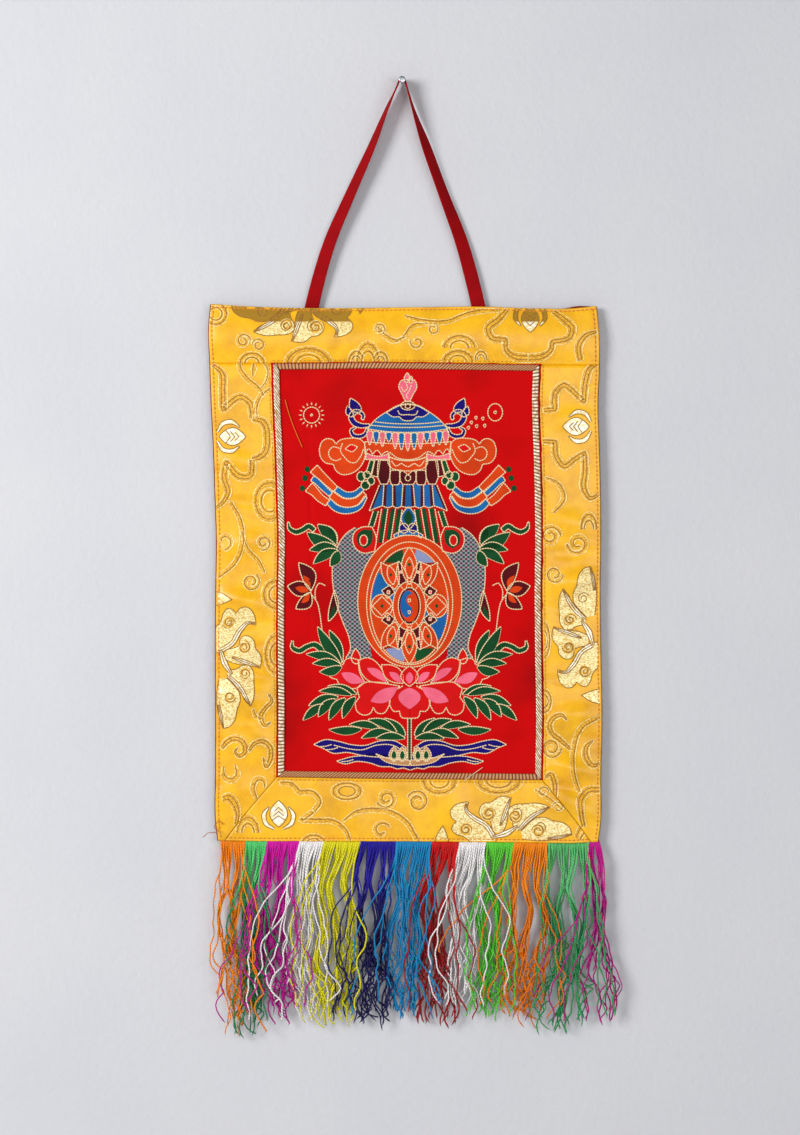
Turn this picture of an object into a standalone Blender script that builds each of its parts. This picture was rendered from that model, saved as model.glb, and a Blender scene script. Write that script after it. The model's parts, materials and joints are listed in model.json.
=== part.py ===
"""Brocade wall hanging on a nail: lined brocade, braid, a hanging ribbon and a thread fringe.

The origin is where the nail enters the wall. The wall is the plane y = 0, the hanging faces -Y,
+X is to the right and +Z is up. Every cloth piece is cut in a flat plane, by x and by the drop
below the top edge, and hang() then gives each point its place in the hanging cloth.
"""

import math
from collections import namedtuple

import bmesh
import bpy
import numpy as np

MM = 0.001

# The cloth body
BODY_WIDTH = 231.0 * MM
BODY_HEIGHT = 320.4 * MM
BODY_CENTRE_X = 3.0 * MM
BODY_TOP_Z = -136.2 * MM
BODY_LEFT_X = BODY_CENTRE_X - BODY_WIDTH / 2
BODY_RIGHT_X = BODY_CENTRE_X + BODY_WIDTH / 2

# The four brocade borders, and the braid inside them
TOP_BORDER = 33.2 * MM
LEFT_BORDER = 36.4 * MM
RIGHT_BORDER = 34.8 * MM
BOTTOM_BORDER = 38.0 * MM
MITRE_FOOT = 4.0 * MM
BRAID_WIDTH = 3.7 * MM
PANEL_SHOWS_OUTSIDE_BRAID = 1.0 * MM
LINING_SHOWS = 0.6 * MM
TOP_PEEK = 1.4 * MM
TOP_PEEK_ACROSS = 0.95
TOP_PEEK_REACH = 0.03

# Heights above the wall, layer by layer
CLEARANCE = 0.3 * MM
MITRE_GAP = 0.4 * MM
RIBBON_THICKNESS = 1.0 * MM
LINING_THICKNESS = 1.0 * MM
FRONT_THICKNESS = 1.1 * MM
BRAID_THICKNESS = 1.0 * MM
RIBBON_END_HEIGHT = 2.4 * MM
LINING_FRONT = RIBBON_END_HEIGHT + RIBBON_THICKNESS / 2 + CLEARANCE + LINING_THICKNESS
CLOTH_FRONT = LINING_FRONT + CLEARANCE + FRONT_THICKNESS
BRAID_FRONT = CLOTH_FRONT + CLEARANCE + BRAID_THICKNESS
TOP_ROLL_HEIGHT = 3.2 * MM

# The nail
NAIL_LENGTH = 30.0 * MM
NAIL_STANDS_OUT = 11.8 * MM
NAIL_RADIUS = 0.9 * MM
NAIL_HEAD_RADIUS = 2.0 * MM
NAIL_HEAD_THICKNESS = 0.8 * MM
NAIL_POINT_LENGTH = 3.2 * MM
NAIL_SIDES = 16

# The hanging ribbon
RIBBON_WIDTH = 8.3 * MM
RIBBON_AT_NAIL_HEIGHT = 6.0 * MM
RIBBON_LEG_STEPS = 18
RIBBON_BEND_STEPS = 6

# The fringe, whose strands wave and wander by these many mm
STRAND_RADIUS = 0.62 * MM
STRAND_STEPS = 7
STRAND_WAVE = 0.8
STRIP_BELOW_HEM = CLEARANCE + LINING_SHOWS / 2
STRIP_HEIGHT = 1.6 * MM
STRIP_THICKNESS = 1.7 * MM
STRIP_HEIGHT_ABOVE_WALL = CLOTH_FRONT - FRONT_THICKNESS / 2
ROOT_DEPTH = 0.7 * MM
STRAND_WAVE_LENGTH = 53.0
STRAND_WANDER = 0.3
LAYER_SPREAD_DROP = 16.0 * MM
FRINGE_SEED = 11

# How far the two side edges hang off a straight cut, to the right, in mm
EdgeRow = namedtuple("EdgeRow", "drop left right")
EDGE_ROWS = [
    EdgeRow(0, -2.0, -1.8),
    EdgeRow(11, -3.2, -0.6),
    EdgeRow(34, -2.6, 0.0),
    EdgeRow(54, -1.9, -0.9),
    EdgeRow(85, -0.4, -0.1),
    EdgeRow(116, 0.6, 0.6),
    EdgeRow(137, 1.3, 0.7),
    EdgeRow(172, 0.9, 0.4),
    EdgeRow(206, 0.7, 0.8),
    EdgeRow(248, 0.9, 1.4),
    EdgeRow(280, 0.8, 0.7),
    EdgeRow(310, 0.9, 0.5),
    EdgeRow(321, 2.2, -0.9),
]

# How far the top edge, the upper seam, the lower seam and the bottom edge rise off level, in mm
LevelRow = namedtuple("LevelRow", "across top upper_seam lower_seam bottom")
LEVEL_ROWS = [
    LevelRow(0.00, 2.6, 0.2, 0.9, 0.9),
    LevelRow(0.06, 1.6, 0.2, 0.9, 0.5),
    LevelRow(0.24, 0.1, 0.3, 0.6, 0.4),
    LevelRow(0.40, 0.2, 0.8, 0.0, 0.3),
    LevelRow(0.55, 0.7, 0.5, -0.4, 0.2),
    LevelRow(0.70, 1.0, -0.1, -0.6, -0.1),
    LevelRow(0.85, -0.1, -0.6, -0.9, -0.5),
    LevelRow(0.94, 0.0, -0.7, -0.9, -0.7),
    LevelRow(1.00, 1.4, -0.8, -0.9, 0.2),
]

# Broad swells that lining and front share: place, reach and height in mm
Swell = namedtuple("Swell", "across drop reach height")
SWELLS = [
    Swell(0.02, 60, 46, 1.1),
    Swell(0.05, 215, 40, 0.9),
    Swell(0.98, 110, 44, 1.0),
    Swell(0.96, 262, 38, 1.3),
    Swell(0.30, 305, 42, 0.8),
    Swell(0.72, 318, 40, 1.0),
    Swell(0.50, 150, 60, 0.7),
]

# Soft ridges of the front cloth alone: reaches along and across the ridge, and height, in mm
Ridge = namedtuple("Ridge", "across drop half_length half_width turn height")
BORDER_RIDGES = [
    Ridge(0.06, 92, 13, 6, 8, 0.7),
    Ridge(0.08, 141, 15, 7, -10, 0.9),
    Ridge(0.07, 176, 16, 6, 12, 1.2),
    Ridge(0.09, 206, 14, 6, -6, 0.9),
    Ridge(0.07, 234, 16, 7, 4, 1.3),
    Ridge(0.10, 262, 13, 6, 14, 0.9),
    Ridge(0.05, 290, 12, 6, -12, 0.6),
    Ridge(0.93, 66, 13, 6, -8, 0.6),
    Ridge(0.92, 128, 14, 7, 6, 0.8),
    Ridge(0.94, 163, 15, 6, -14, 1.3),
    Ridge(0.91, 200, 15, 7, 8, 0.8),
    Ridge(0.93, 243, 15, 6, -8, 1.1),
    Ridge(0.92, 275, 15, 6, 12, 1.4),
    Ridge(0.95, 299, 12, 6, 20, 1.0),
    Ridge(0.36, 304, 15, 7, 84, 0.5),
    Ridge(0.62, 300, 16, 8, 96, 0.6),
]
PANEL_RIDGES = [
    Ridge(0.30, 62, 34, 9, 2, 0.5),
    Ridge(0.66, 70, 30, 8, -4, 0.45),
    Ridge(0.34, 156, 30, 12, 8, 0.4),
    Ridge(0.70, 205, 26, 14, -10, 0.45),
    Ridge(0.30, 232, 24, 12, 4, 0.4),
    Ridge(0.62, 262, 28, 12, 30, 0.5),
]

# The ribbon's two legs at each fall below the nail: x of the middle line, and the turn in degrees
# from face-on, as it is at the cloth, to edge-on, as it is at the nail
LegRow = namedtuple("LegRow", "fall left right left_turn right_turn")
LEG_ROWS = [
    LegRow(3, -2.9, 2.7, 88, 88),
    LegRow(17.4, -9.4, 7.0, 74, 77),
    LegRow(37.2, -17.4, 13.9, 57, 50),
    LegRow(67.2, -30.8, 24.8, 41, 40),
    LegRow(96.6, -43.4, 35.8, 26, 20),
    LegRow(122, -51.0, 42.9, 12, 4),
    LegRow(134.4, -54.0, 45.8, 0, 0),
    LegRow(152, -57.9, 49.2, 0, 0),
]

# The fringe's blocks of colour: x of each block's left edge at the hem and at three falls below
# it, and how far its shortest and longest strands fall, in mm. The last row is the right edge.
FRINGE_FALLS = (0, 28, 62, 110)
Block = namedtuple("Block", "name colour root upper lower end shortest longest strands")
BLOCKS = [
    Block("orange_left", "E87A12", -109.2, -108.0, -109.2, -103.2, 98, 119, 10),
    Block("green_left", "2E9A62", -93.9, -94.8, -96.0, -93.6, 100, 118, 8),
    Block("magenta_left", "C4109C", -80.7, -84.6, -85.8, -84.0, 101, 111, 12),
    Block("white_left", "EDE9EA", -61.4, -66.0, -68.4, -66.0, 103, 111, 9),
    Block("yellow", "E6E02A", -46.4, -53.4, -52.2, -50.4, 104, 113, 14),
    Block("navy", "241C86", -24.6, -28.8, -27.0, -30.0, 107, 115, 14),
    Block("blue", "1C8BC4", -3.3, -7.2, -7.8, -8.4, 102, 108, 14),
    Block("red", "C8101A", 18.4, 13.8, 9.3, 13.2, 106, 113, 10),
    Block("white_right", "EDE9EA", 34.6, 29.4, 27.0, 32.4, 98, 105, 10),
    Block("lime", "5CCB35", 51.0, 46.8, 45.0, 45.6, 103, 109, 10),
    Block("orange_right", "F08A10", 67.6, 61.5, 61.8, 58.8, 104, 112, 12),
    Block("green_right", "55B56C", 87.6, 85.8, 87.6, 82.8, 109, 117, 15),
    Block("magenta_right", "B3108F", 112.4, 112.2, 112.2, 107.4, 106, 112, 4),
    Block("right_edge", "B3108F", 118.4, 123.0, 125.6, 132.6, 106, 112, 0),
]

# Heights above the wall of the layers that the strands of odd and of even blocks hang in, in mm
ODD_LAYERS = (8.4, 6.6)
EVEN_LAYERS = (3.0, 4.8)

Finish = namedtuple("Finish", "name colour roughness metallic")
SATIN = Finish("yellow_brocade", "F0B81C", 0.45, 0.0)
PANEL = Finish("red_brocade", "CE0608", 0.6, 0.0)
BRAID = Finish("metallic_braid", "B9A27C", 0.4, 0.6)
LINING = Finish("red_lining", "8E0A12", 0.8, 0.0)
RIBBON = Finish("red_ribbon", "A80408", 0.8, 0.0)
STEEL = Finish("bright_steel", "C6CCD0", 0.25, 1.0)


def clear_scene():
    for old in list(bpy.data.objects):
        bpy.data.objects.remove(old)


def collection(name):
    made = bpy.data.collections.new(name)
    bpy.context.scene.collection.children.link(made)
    return made


def linear(channel):
    return channel / 12.92 if channel <= 0.04045 else ((channel + 0.055) / 1.055) ** 2.4


def material(finish):
    made = bpy.data.materials.get(finish.name) or bpy.data.materials.new(finish.name)
    made.use_nodes = True
    shader = made.node_tree.nodes["Principled BSDF"]
    channels = [int(finish.colour[i : i + 2], 16) / 255 for i in (0, 2, 4)]
    shader.inputs["Base Color"].default_value = [linear(c) for c in channels] + [1.0]
    shader.inputs["Roughness"].default_value = finish.roughness
    shader.inputs["Metallic"].default_value = finish.metallic
    return made


def smooth(at, places, values):
    """A cubic curve through a table's values, its slope at each row taken from the neighbours."""
    places = np.asarray(places, float)
    values = np.asarray(values, float)
    slopes = np.gradient(values, places)
    at = np.clip(at, places[0], places[-1])
    row = np.clip(np.searchsorted(places, at) - 1, 0, len(places) - 2)
    span = places[row + 1] - places[row]
    t = (at - places[row]) / span
    start = (2 * t**3 - 3 * t**2 + 1) * values[row] + (t**3 - 2 * t**2 + t) * span * slopes[row]
    end = (3 * t**2 - 2 * t**3) * values[row + 1] + (t**3 - t**2) * span * slopes[row + 1]
    return start + end


def column(rows, name):
    return [getattr(row, name) for row in rows]


def across_of(x):
    """The share of the body's width that lies left of x in the flat cut."""
    return (x - BODY_LEFT_X) / BODY_WIDTH


def swell(across, drop):
    """How far lining and front stand off together, in metres: a sum of round soft swells."""
    total = 0.0
    for bump in SWELLS:
        sideways = (across - bump.across) * BODY_WIDTH / MM
        down = drop / MM - bump.drop
        total += bump.height * math.exp(-(sideways**2 + down**2) / (2 * bump.reach**2))
    return total * MM


def ridges(rows, across, drop):
    """How far soft ridges lift the front cloth, in metres: a long bump along each ridge's turn."""
    total = 0.0
    for ridge in rows:
        sideways = (across - ridge.across) * BODY_WIDTH / MM
        down = drop / MM - ridge.drop
        turn = math.radians(ridge.turn)
        along = sideways * math.cos(turn) + down * math.sin(turn)
        athwart = down * math.cos(turn) - sideways * math.sin(turn)
        fall = (along / ridge.half_length) ** 2 + (athwart / ridge.half_width) ** 2
        total += ridge.height * math.exp(-fall)
    return total * MM


def top_roll(drop):
    """The soft roll of the folded heading: nothing at its edges, fullest below its middle."""
    share = min(max(drop / TOP_BORDER, 0.0), 1.0)
    return TOP_ROLL_HEIGHT * math.sin(math.pi * share**1.15) ** 1.2


def hang(x, drop, height):
    """The place in the hanging cloth of a point of the flat cut, at a height above the wall."""
    inside = min(max(across_of(x), 0.0), 1.0)
    left = smooth(drop / MM, column(EDGE_ROWS, "drop"), column(EDGE_ROWS, "left"))
    right = smooth(drop / MM, column(EDGE_ROWS, "drop"), column(EDGE_ROWS, "right"))
    levels = [
        smooth(inside, column(LEVEL_ROWS, "across"), column(LEVEL_ROWS, name))
        for name in ("top", "upper_seam", "lower_seam", "bottom")
    ]
    level_drops = [0.0, TOP_BORDER, BODY_HEIGHT - BOTTOM_BORDER, BODY_HEIGHT]
    rise = float(np.interp(drop, level_drops, levels))
    return (
        x + (left + (right - left) * inside) * MM,
        -(height + swell(inside, drop)),
        BODY_TOP_Z - drop + rise * MM,
    )


def cloth_piece(name, cut, columns, rows, thickness, finish, into):
    """A sheet from a grid whose points cut(u, v) gives in place, made solid behind its face."""
    shape = bmesh.new()
    bmesh.ops.create_grid(shape, x_segments=columns, y_segments=rows, size=0.5)
    for corner in shape.verts:
        corner.co = cut(corner.co.x + 0.5, corner.co.y + 0.5)
    mesh = bpy.data.meshes.new(name)
    shape.to_mesh(mesh)
    shape.free()
    mesh.shade_smooth()
    piece = bpy.data.objects.new(name, mesh)
    piece.data.materials.append(material(finish))
    solid = piece.modifiers.new("Cloth thickness", "SOLIDIFY")
    solid.thickness = thickness
    solid.offset = -1.0
    solid.use_even_offset = True
    into.objects.link(piece)
    return piece


def make_lining(into):
    """The red lining, a little wider than the front, so that its edge shows as a thin line."""
    left = BODY_LEFT_X - LINING_SHOWS
    right = BODY_RIGHT_X + LINING_SHOWS * 0.6
    hem = BODY_HEIGHT + LINING_SHOWS * 0.5

    def cut(u, v):
        place = hang(left + u * (right - left), (1 - v) * hem, LINING_FRONT)
        near_peek = math.exp(-(((u - TOP_PEEK_ACROSS) / TOP_PEEK_REACH) ** 2))
        return place[0], place[1], place[2] + (v == 1) * (near_peek * TOP_PEEK - CLEARANCE)

    cloth_piece("lining", cut, 14, 18, LINING_THICKNESS, LINING, into)


def front_height(across, drop, edge_fade):
    """Height above the wall of the borders' face, with ridges that die away at the seams."""
    return CLOTH_FRONT + ridges(BORDER_RIDGES, across, drop) * edge_fade


def make_top_border(into):
    """The heading: one band across the whole width, folded at the top into a soft roll."""

    def cut(u, v):
        x = BODY_LEFT_X + u * BODY_WIDTH
        drop = (1 - v) * (TOP_BORDER - CLEARANCE)
        flatter_at_ends = math.sin(math.pi * min(max(u, 0.004), 0.996)) ** 0.18
        return hang(x, drop, CLOTH_FRONT + top_roll(drop) * flatter_at_ends)

    cloth_piece("border_top", cut, 24, 7, FRONT_THICKNESS, SATIN, into)


def mitre_drop(into_border, border_width):
    """Drop of the mitre at a distance in from the side edge: level at its foot, then rising."""
    share = max(into_border - MITRE_FOOT, 0.0) / (border_width - MITRE_FOOT)
    return BODY_HEIGHT - share * BOTTOM_BORDER


def make_side_border(name, width, side, into):
    """A side border, from the upper seam to the mitre. side is -1 for left and 1 for right."""
    outer = BODY_CENTRE_X + side * BODY_WIDTH / 2

    def cut(u, v):
        inward = (u if side < 0 else 1 - u) * (width - CLEARANCE)
        foot = mitre_drop(inward, width) - MITRE_GAP * min(inward / MITRE_FOOT, 1.0)
        x = outer - side * inward
        drop = TOP_BORDER + (1 - v) * (foot - TOP_BORDER)
        fade = math.sin(math.pi * min(max(inward / width, 0.0), 1.0)) ** 0.5
        return hang(x, drop, front_height(across_of(x), drop, fade))

    cloth_piece(name, cut, 5, 36, FRONT_THICKNESS, SATIN, into)


def make_bottom_border(into):
    """The bottom border, mitred to both sides: short at the seam and long at the hem."""
    left_foot = BODY_LEFT_X + MITRE_FOOT + MITRE_GAP
    right_foot = BODY_RIGHT_X - MITRE_FOOT - MITRE_GAP

    def cut(u, v):
        left = left_foot + v * (LEFT_BORDER - MITRE_FOOT)
        right = right_foot - v * (RIGHT_BORDER - MITRE_FOOT)
        x = left + u * (right - left)
        drop = BODY_HEIGHT - v * (BOTTOM_BORDER - CLEARANCE)
        fade = math.sin(math.pi * min(max(v, 0.02), 0.98)) ** 0.5
        return hang(x, drop, front_height(across_of(x), drop, fade))

    cloth_piece("border_bottom", cut, 24, 6, FRONT_THICKNESS, SATIN, into)


def make_panel(into):
    """The woven red panel between the four seams."""
    left = BODY_LEFT_X + LEFT_BORDER
    right = BODY_RIGHT_X - RIGHT_BORDER
    top = TOP_BORDER + CLEARANCE
    bottom = BODY_HEIGHT - BOTTOM_BORDER - CLEARANCE

    def cut(u, v):
        x = left + u * (right - left)
        drop = bottom + v * (top - bottom)
        fade = (math.sin(math.pi * min(max(u, 0.0), 1.0)) * math.sin(math.pi * v)) ** 2
        return hang(x, drop, CLOTH_FRONT + ridges(PANEL_RIDGES, across_of(x), drop) * fade)

    cloth_piece("panel", cut, 12, 18, FRONT_THICKNESS, PANEL, into)


def make_braids(into):
    """Four lengths of flat metallic braid on the panel's edges, mitred at the corners."""
    left = BODY_LEFT_X + LEFT_BORDER + PANEL_SHOWS_OUTSIDE_BRAID
    right = BODY_RIGHT_X - RIGHT_BORDER - PANEL_SHOWS_OUTSIDE_BRAID
    top = TOP_BORDER + CLEARANCE
    bottom = BODY_HEIGHT - BOTTOM_BORDER - CLEARANCE
    runs = {
        "braid_left": ((left, bottom), (left, top), (1, -1), (1, 1)),
        "braid_right": ((right, top), (right, bottom), (-1, 1), (-1, -1)),
        "braid_top": ((left, top), (right, top), (1, 1), (-1, 1)),
        "braid_bottom": ((right, bottom), (left, bottom), (-1, -1), (1, -1)),
    }
    steps_per_metre = 95
    for name, (start, end, start_in, end_in) in runs.items():
        length = math.dist(start, end)
        steps = max(4, round(length * steps_per_metre))
        trim = 0.75 * CLEARANCE / length

        def cut(u, v, start=start, end=end, start_in=start_in, end_in=end_in, trim=trim):
            inward = u * BRAID_WIDTH
            near = [start[i] + start_in[i] * inward for i in (0, 1)]
            far = [end[i] + end_in[i] * inward for i in (0, 1)]
            share = trim + v * (1 - 2 * trim)
            x = near[0] + share * (far[0] - near[0])
            drop = near[1] + share * (far[1] - near[1])
            return hang(x, drop, BRAID_FRONT)

        cloth_piece(name, cut, 1, steps, BRAID_THICKNESS, BRAID, into)


def ribbon_leg(side):
    """One leg from the nail down to its sewn end: rows of x, y, z in metres and turn in degrees."""
    falls = column(LEG_ROWS, "fall")
    fall = np.linspace(falls[0], falls[-1], RIBBON_LEG_STEPS + 1)
    x = smooth(fall, falls, column(LEG_ROWS, side)) * MM
    turn = smooth(fall, falls, column(LEG_ROWS, side + "_turn"))
    down = np.clip(fall * MM / -BODY_TOP_Z, 0, 1)
    height = RIBBON_AT_NAIL_HEIGHT + down * (RIBBON_END_HEIGHT - RIBBON_AT_NAIL_HEIGHT)
    behind = [
        swell(across_of(place), max(low * MM + BODY_TOP_Z, 0.0))
        for place, low in zip(x, fall)
    ]
    height += np.array(behind) * smooth(fall, (0, 100, 134, 152), (0, 0, 1, 1))
    return np.column_stack([x, -height, -fall * MM, np.clip(turn, 0, 90)])


def make_ribbon(into):
    """One flat ribbon, edge-on where it goes over the nail and turned face-on at the cloth."""
    bend_radius = NAIL_RADIUS + CLEARANCE + RIBBON_THICKNESS / 2
    angles = np.radians(np.linspace(165, 15, RIBBON_BEND_STEPS + 1))
    bend = np.column_stack(
        [
            bend_radius * np.cos(angles),
            np.full_like(angles, -RIBBON_AT_NAIL_HEIGHT),
            bend_radius * np.sin(angles),
            np.full_like(angles, 90.0),
        ]
    )
    line = np.vstack([ribbon_leg("left")[::-1], bend, ribbon_leg("right")])
    points = line[:, :3]
    turn = np.radians(line[:, 3])[:, None]
    along = np.gradient(points, axis=0)
    along /= np.linalg.norm(along, axis=1)[:, None]
    face_on = np.cross(along, (0.0, -1.0, 0.0))
    face_on /= np.linalg.norm(face_on, axis=1)[:, None]
    edge_on = np.cross(face_on, along)
    width = face_on * np.cos(turn) + edge_on * np.sin(turn)
    last = len(line) - 1

    def cut(u, v):
        row = round(v * last)
        return points[row] + width[row] * (u - 0.5) * RIBBON_WIDTH

    ribbon = cloth_piece("hanging_ribbon", cut, 2, last, RIBBON_THICKNESS, RIBBON, into)
    ribbon.modifiers["Cloth thickness"].offset = 0.0


def make_nail(into):
    """A turned wire nail: flat head outside the wall and its point inside it."""
    head_face = NAIL_STANDS_OUT
    tip = NAIL_STANDS_OUT - NAIL_LENGTH
    neck = NAIL_STANDS_OUT - NAIL_HEAD_THICKNESS
    profile = [
        (0.0, head_face),
        (NAIL_HEAD_RADIUS * 0.86, head_face),
        (NAIL_HEAD_RADIUS, head_face - NAIL_HEAD_THICKNESS * 0.3),
        (NAIL_HEAD_RADIUS, neck + NAIL_HEAD_THICKNESS * 0.2),
        (NAIL_HEAD_RADIUS * 0.9, neck),
        (NAIL_RADIUS, neck),
        (NAIL_RADIUS, tip + NAIL_POINT_LENGTH),
        (0.0, tip),
    ]
    mesh = bpy.data.meshes.new("nail")
    edges = [(i, i + 1) for i in range(len(profile) - 1)]
    mesh.from_pydata([(radius, 0.0, height) for radius, height in profile], edges, [])
    nail = bpy.data.objects.new("nail", mesh)
    nail.rotation_euler = (math.pi / 2, 0.0, 0.0)
    turn = nail.modifiers.new("Turned", "SCREW")
    turn.steps = NAIL_SIDES
    turn.render_steps = NAIL_SIDES
    turn.use_merge_vertices = True
    turn.merge_threshold = 0.00001
    mesh.materials.append(material(STEEL))
    into.objects.link(nail)


def strand_points(number, place, layer, length, wander, wave):
    """A strand's middle line, from inside the strip down to its end.

    It keeps its place between the block's two edges, and moves out to its own layer, so that no
    two strands meet.
    """
    edges = BLOCKS[number], BLOCKS[number + 1]
    levels = [
        [row.root + side * CLEARANCE / MM / 2, row.upper, row.lower, row.end]
        for row, side in zip(edges, (1, -1))
    ]
    fallen = np.linspace(0, length, STRAND_STEPS + 1)
    left, right = (smooth(fallen, FRINGE_FALLS, level) for level in levels)
    loose = np.clip(fallen / FRINGE_FALLS[1], 0, 1)
    x = left + (right - left) * place
    turns = wave + fallen / STRAND_WAVE_LENGTH
    x += loose * (wander + STRAND_WAVE * np.sin(2 * math.pi * turns))
    root = hem_place(x[0] * MM, STRIP_HEIGHT_ABOVE_WALL, STRIP_BELOW_HEM + ROOT_DEPTH)
    out = np.clip(fallen * MM / LAYER_SPREAD_DROP, 0, 1)
    out = out * out * (3 - 2 * out)
    y = root[1] + out * (-layer * MM - root[1])
    return np.column_stack([x * MM, y, root[2] - fallen * MM])


def hem_place(x, height, below):
    """The place at a distance below the hem, at this x and this height above the wall."""
    place = hang(x, BODY_HEIGHT, height)
    return x, place[1], place[2] - below


def strand_section(helpers):
    """The three-sided section that every strand is drawn with."""
    curve = bpy.data.curves.new("strand_section", "CURVE")
    curve.dimensions = "2D"
    spline = curve.splines.new("POLY")
    spline.points.add(2)
    for point, turn in zip(spline.points, (90, 210, 330)):
        angle = math.radians(turn)
        point.co = (STRAND_RADIUS * math.cos(angle), STRAND_RADIUS * math.sin(angle), 0.0, 1.0)
    spline.use_cyclic_u = True
    section = bpy.data.objects.new("strand_section", curve)
    section.hide_render = True
    section.display_type = "WIRE"
    helpers.objects.link(section)
    return section


def strands_object(name, lines, section, helpers):
    """A guide that holds separate closed strands, one along each line of points."""
    curve = bpy.data.curves.new(name, "CURVE")
    curve.dimensions = "3D"
    curve.twist_mode = "MINIMUM"
    curve.bevel_mode = "OBJECT"
    curve.bevel_object = section
    curve.use_fill_caps = True
    for line in lines:
        spline = curve.splines.new("POLY")
        spline.points.add(len(line) - 1)
        for point, place in zip(spline.points, line):
            point.co = (*place, 1.0)
    drawn = bpy.data.objects.new(name, curve)
    helpers.objects.link(drawn)
    graph = bpy.context.evaluated_depsgraph_get()
    shape = bmesh.new()
    shape.from_mesh(bpy.data.meshes.new_from_object(drawn.evaluated_get(graph)))
    bpy.data.objects.remove(drawn)
    bmesh.ops.remove_doubles(shape, verts=shape.verts, dist=0.00001)
    bmesh.ops.recalc_face_normals(shape, faces=shape.faces)
    strands = mesh_object(name, shape, helpers)
    strands.hide_render = True
    strands.display_type = "WIRE"
    return strands


def mesh_object(name, shape, into):
    mesh = bpy.data.meshes.new(name)
    shape.to_mesh(mesh)
    shape.free()
    made = bpy.data.objects.new(name, mesh)
    into.objects.link(made)
    return made


def make_fringe_block(number, section, into, helpers):
    """One block of colour: a narrow strip under the hem with its strands fused into it."""
    block, after = BLOCKS[number], BLOCKS[number + 1]
    random = np.random.default_rng(FRINGE_SEED + number)
    left = block.root * MM + CLEARANCE / 2
    right = after.root * MM - CLEARANCE / 2

    shape = bmesh.new()
    bmesh.ops.create_cube(shape, size=1.0)
    for corner in shape.verts:
        x = left + (corner.co.x + 0.5) * (right - left)
        height = STRIP_HEIGHT_ABOVE_WALL - corner.co.y * STRIP_THICKNESS
        corner.co = hem_place(x, height, STRIP_BELOW_HEM + (0.5 - corner.co.z) * STRIP_HEIGHT)
    strip = mesh_object(f"fringe_{number + 1:02d}_{block.name}", shape, into)
    strip.data.materials.append(material(Finish(f"thread_{block.name}", block.colour, 0.5, 0.0)))

    layers = EVEN_LAYERS if number % 2 else ODD_LAYERS
    waves = random.uniform(0, 1, 2)
    lines = []
    for index in range(block.strands):
        place = (index + 0.5) / block.strands
        length = random.uniform(block.shortest, block.longest)
        wander = random.uniform(-STRAND_WANDER, STRAND_WANDER)
        half = index % 2
        lines.append(strand_points(number, place, layers[half], length, wander, waves[half]))
    fuse = strip.modifiers.new("Fused roots", "BOOLEAN")
    fuse.operation = "UNION"
    fuse.object = strands_object(f"strands_{block.name}", lines, section, helpers)


def main():
    clear_scene()
    hanging = collection("brocade_wall_hanging")
    helpers = collection("cutters_and_guides")
    make_lining(hanging)
    make_top_border(hanging)
    make_side_border("border_left", LEFT_BORDER, -1, hanging)
    make_side_border("border_right", RIGHT_BORDER, 1, hanging)
    make_bottom_border(hanging)
    make_panel(hanging)
    make_braids(hanging)
    make_ribbon(hanging)
    make_nail(hanging)
    section = strand_section(helpers)
    for number in range(len(BLOCKS) - 1):
        make_fringe_block(number, section, hanging, helpers)


main()
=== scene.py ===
"""Looks of a lined brocade wall hanging: satin borders, woven panel, braid, ribbon, nail and fringe.

Every size here is in mm, and mesh_piece() turns it to metres. The wall is the plane y = 0, the
hanging faces -Y, and its heights above the wall are counted towards -Y. The cloth is cut flat, by
x and by the drop below the top edge, and hang() gives each point its place, as in the part's
source. What is woven into the cloth is drawn by x and z as they are seen from the front.
"""

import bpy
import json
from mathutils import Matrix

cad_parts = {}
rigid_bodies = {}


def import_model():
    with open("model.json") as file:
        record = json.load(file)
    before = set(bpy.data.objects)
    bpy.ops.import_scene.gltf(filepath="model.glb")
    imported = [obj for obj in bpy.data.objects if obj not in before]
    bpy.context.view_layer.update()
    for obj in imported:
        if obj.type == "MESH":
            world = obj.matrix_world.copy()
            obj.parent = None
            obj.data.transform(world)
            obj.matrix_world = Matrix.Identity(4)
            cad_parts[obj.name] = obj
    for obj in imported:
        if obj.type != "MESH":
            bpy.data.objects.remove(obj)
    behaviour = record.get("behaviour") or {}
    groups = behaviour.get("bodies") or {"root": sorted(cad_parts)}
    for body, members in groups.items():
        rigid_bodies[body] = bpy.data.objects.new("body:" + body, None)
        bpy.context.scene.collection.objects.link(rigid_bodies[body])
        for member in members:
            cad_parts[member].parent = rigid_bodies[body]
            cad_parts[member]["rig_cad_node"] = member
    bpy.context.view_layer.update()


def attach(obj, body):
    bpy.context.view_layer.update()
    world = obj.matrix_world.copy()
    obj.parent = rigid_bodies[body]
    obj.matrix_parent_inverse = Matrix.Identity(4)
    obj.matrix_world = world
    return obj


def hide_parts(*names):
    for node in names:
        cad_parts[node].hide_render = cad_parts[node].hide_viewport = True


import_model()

import json
import math
from collections import namedtuple

import bmesh
import bpy
import numpy as np
from bpy.props import FloatProperty, FloatVectorProperty, IntProperty, PointerProperty

bl_info = {
    "name": "Brocade wall hanging",
    "version": (1, 0, 0),
    "blender": (4, 5, 0),
    "location": "View3D > Sidebar > Hanging",
    "description": "Dresses a small lined brocade hanging with braid, woven figures and a fringe",
    "category": "Add Mesh",
}

MM = 0.001

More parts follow.
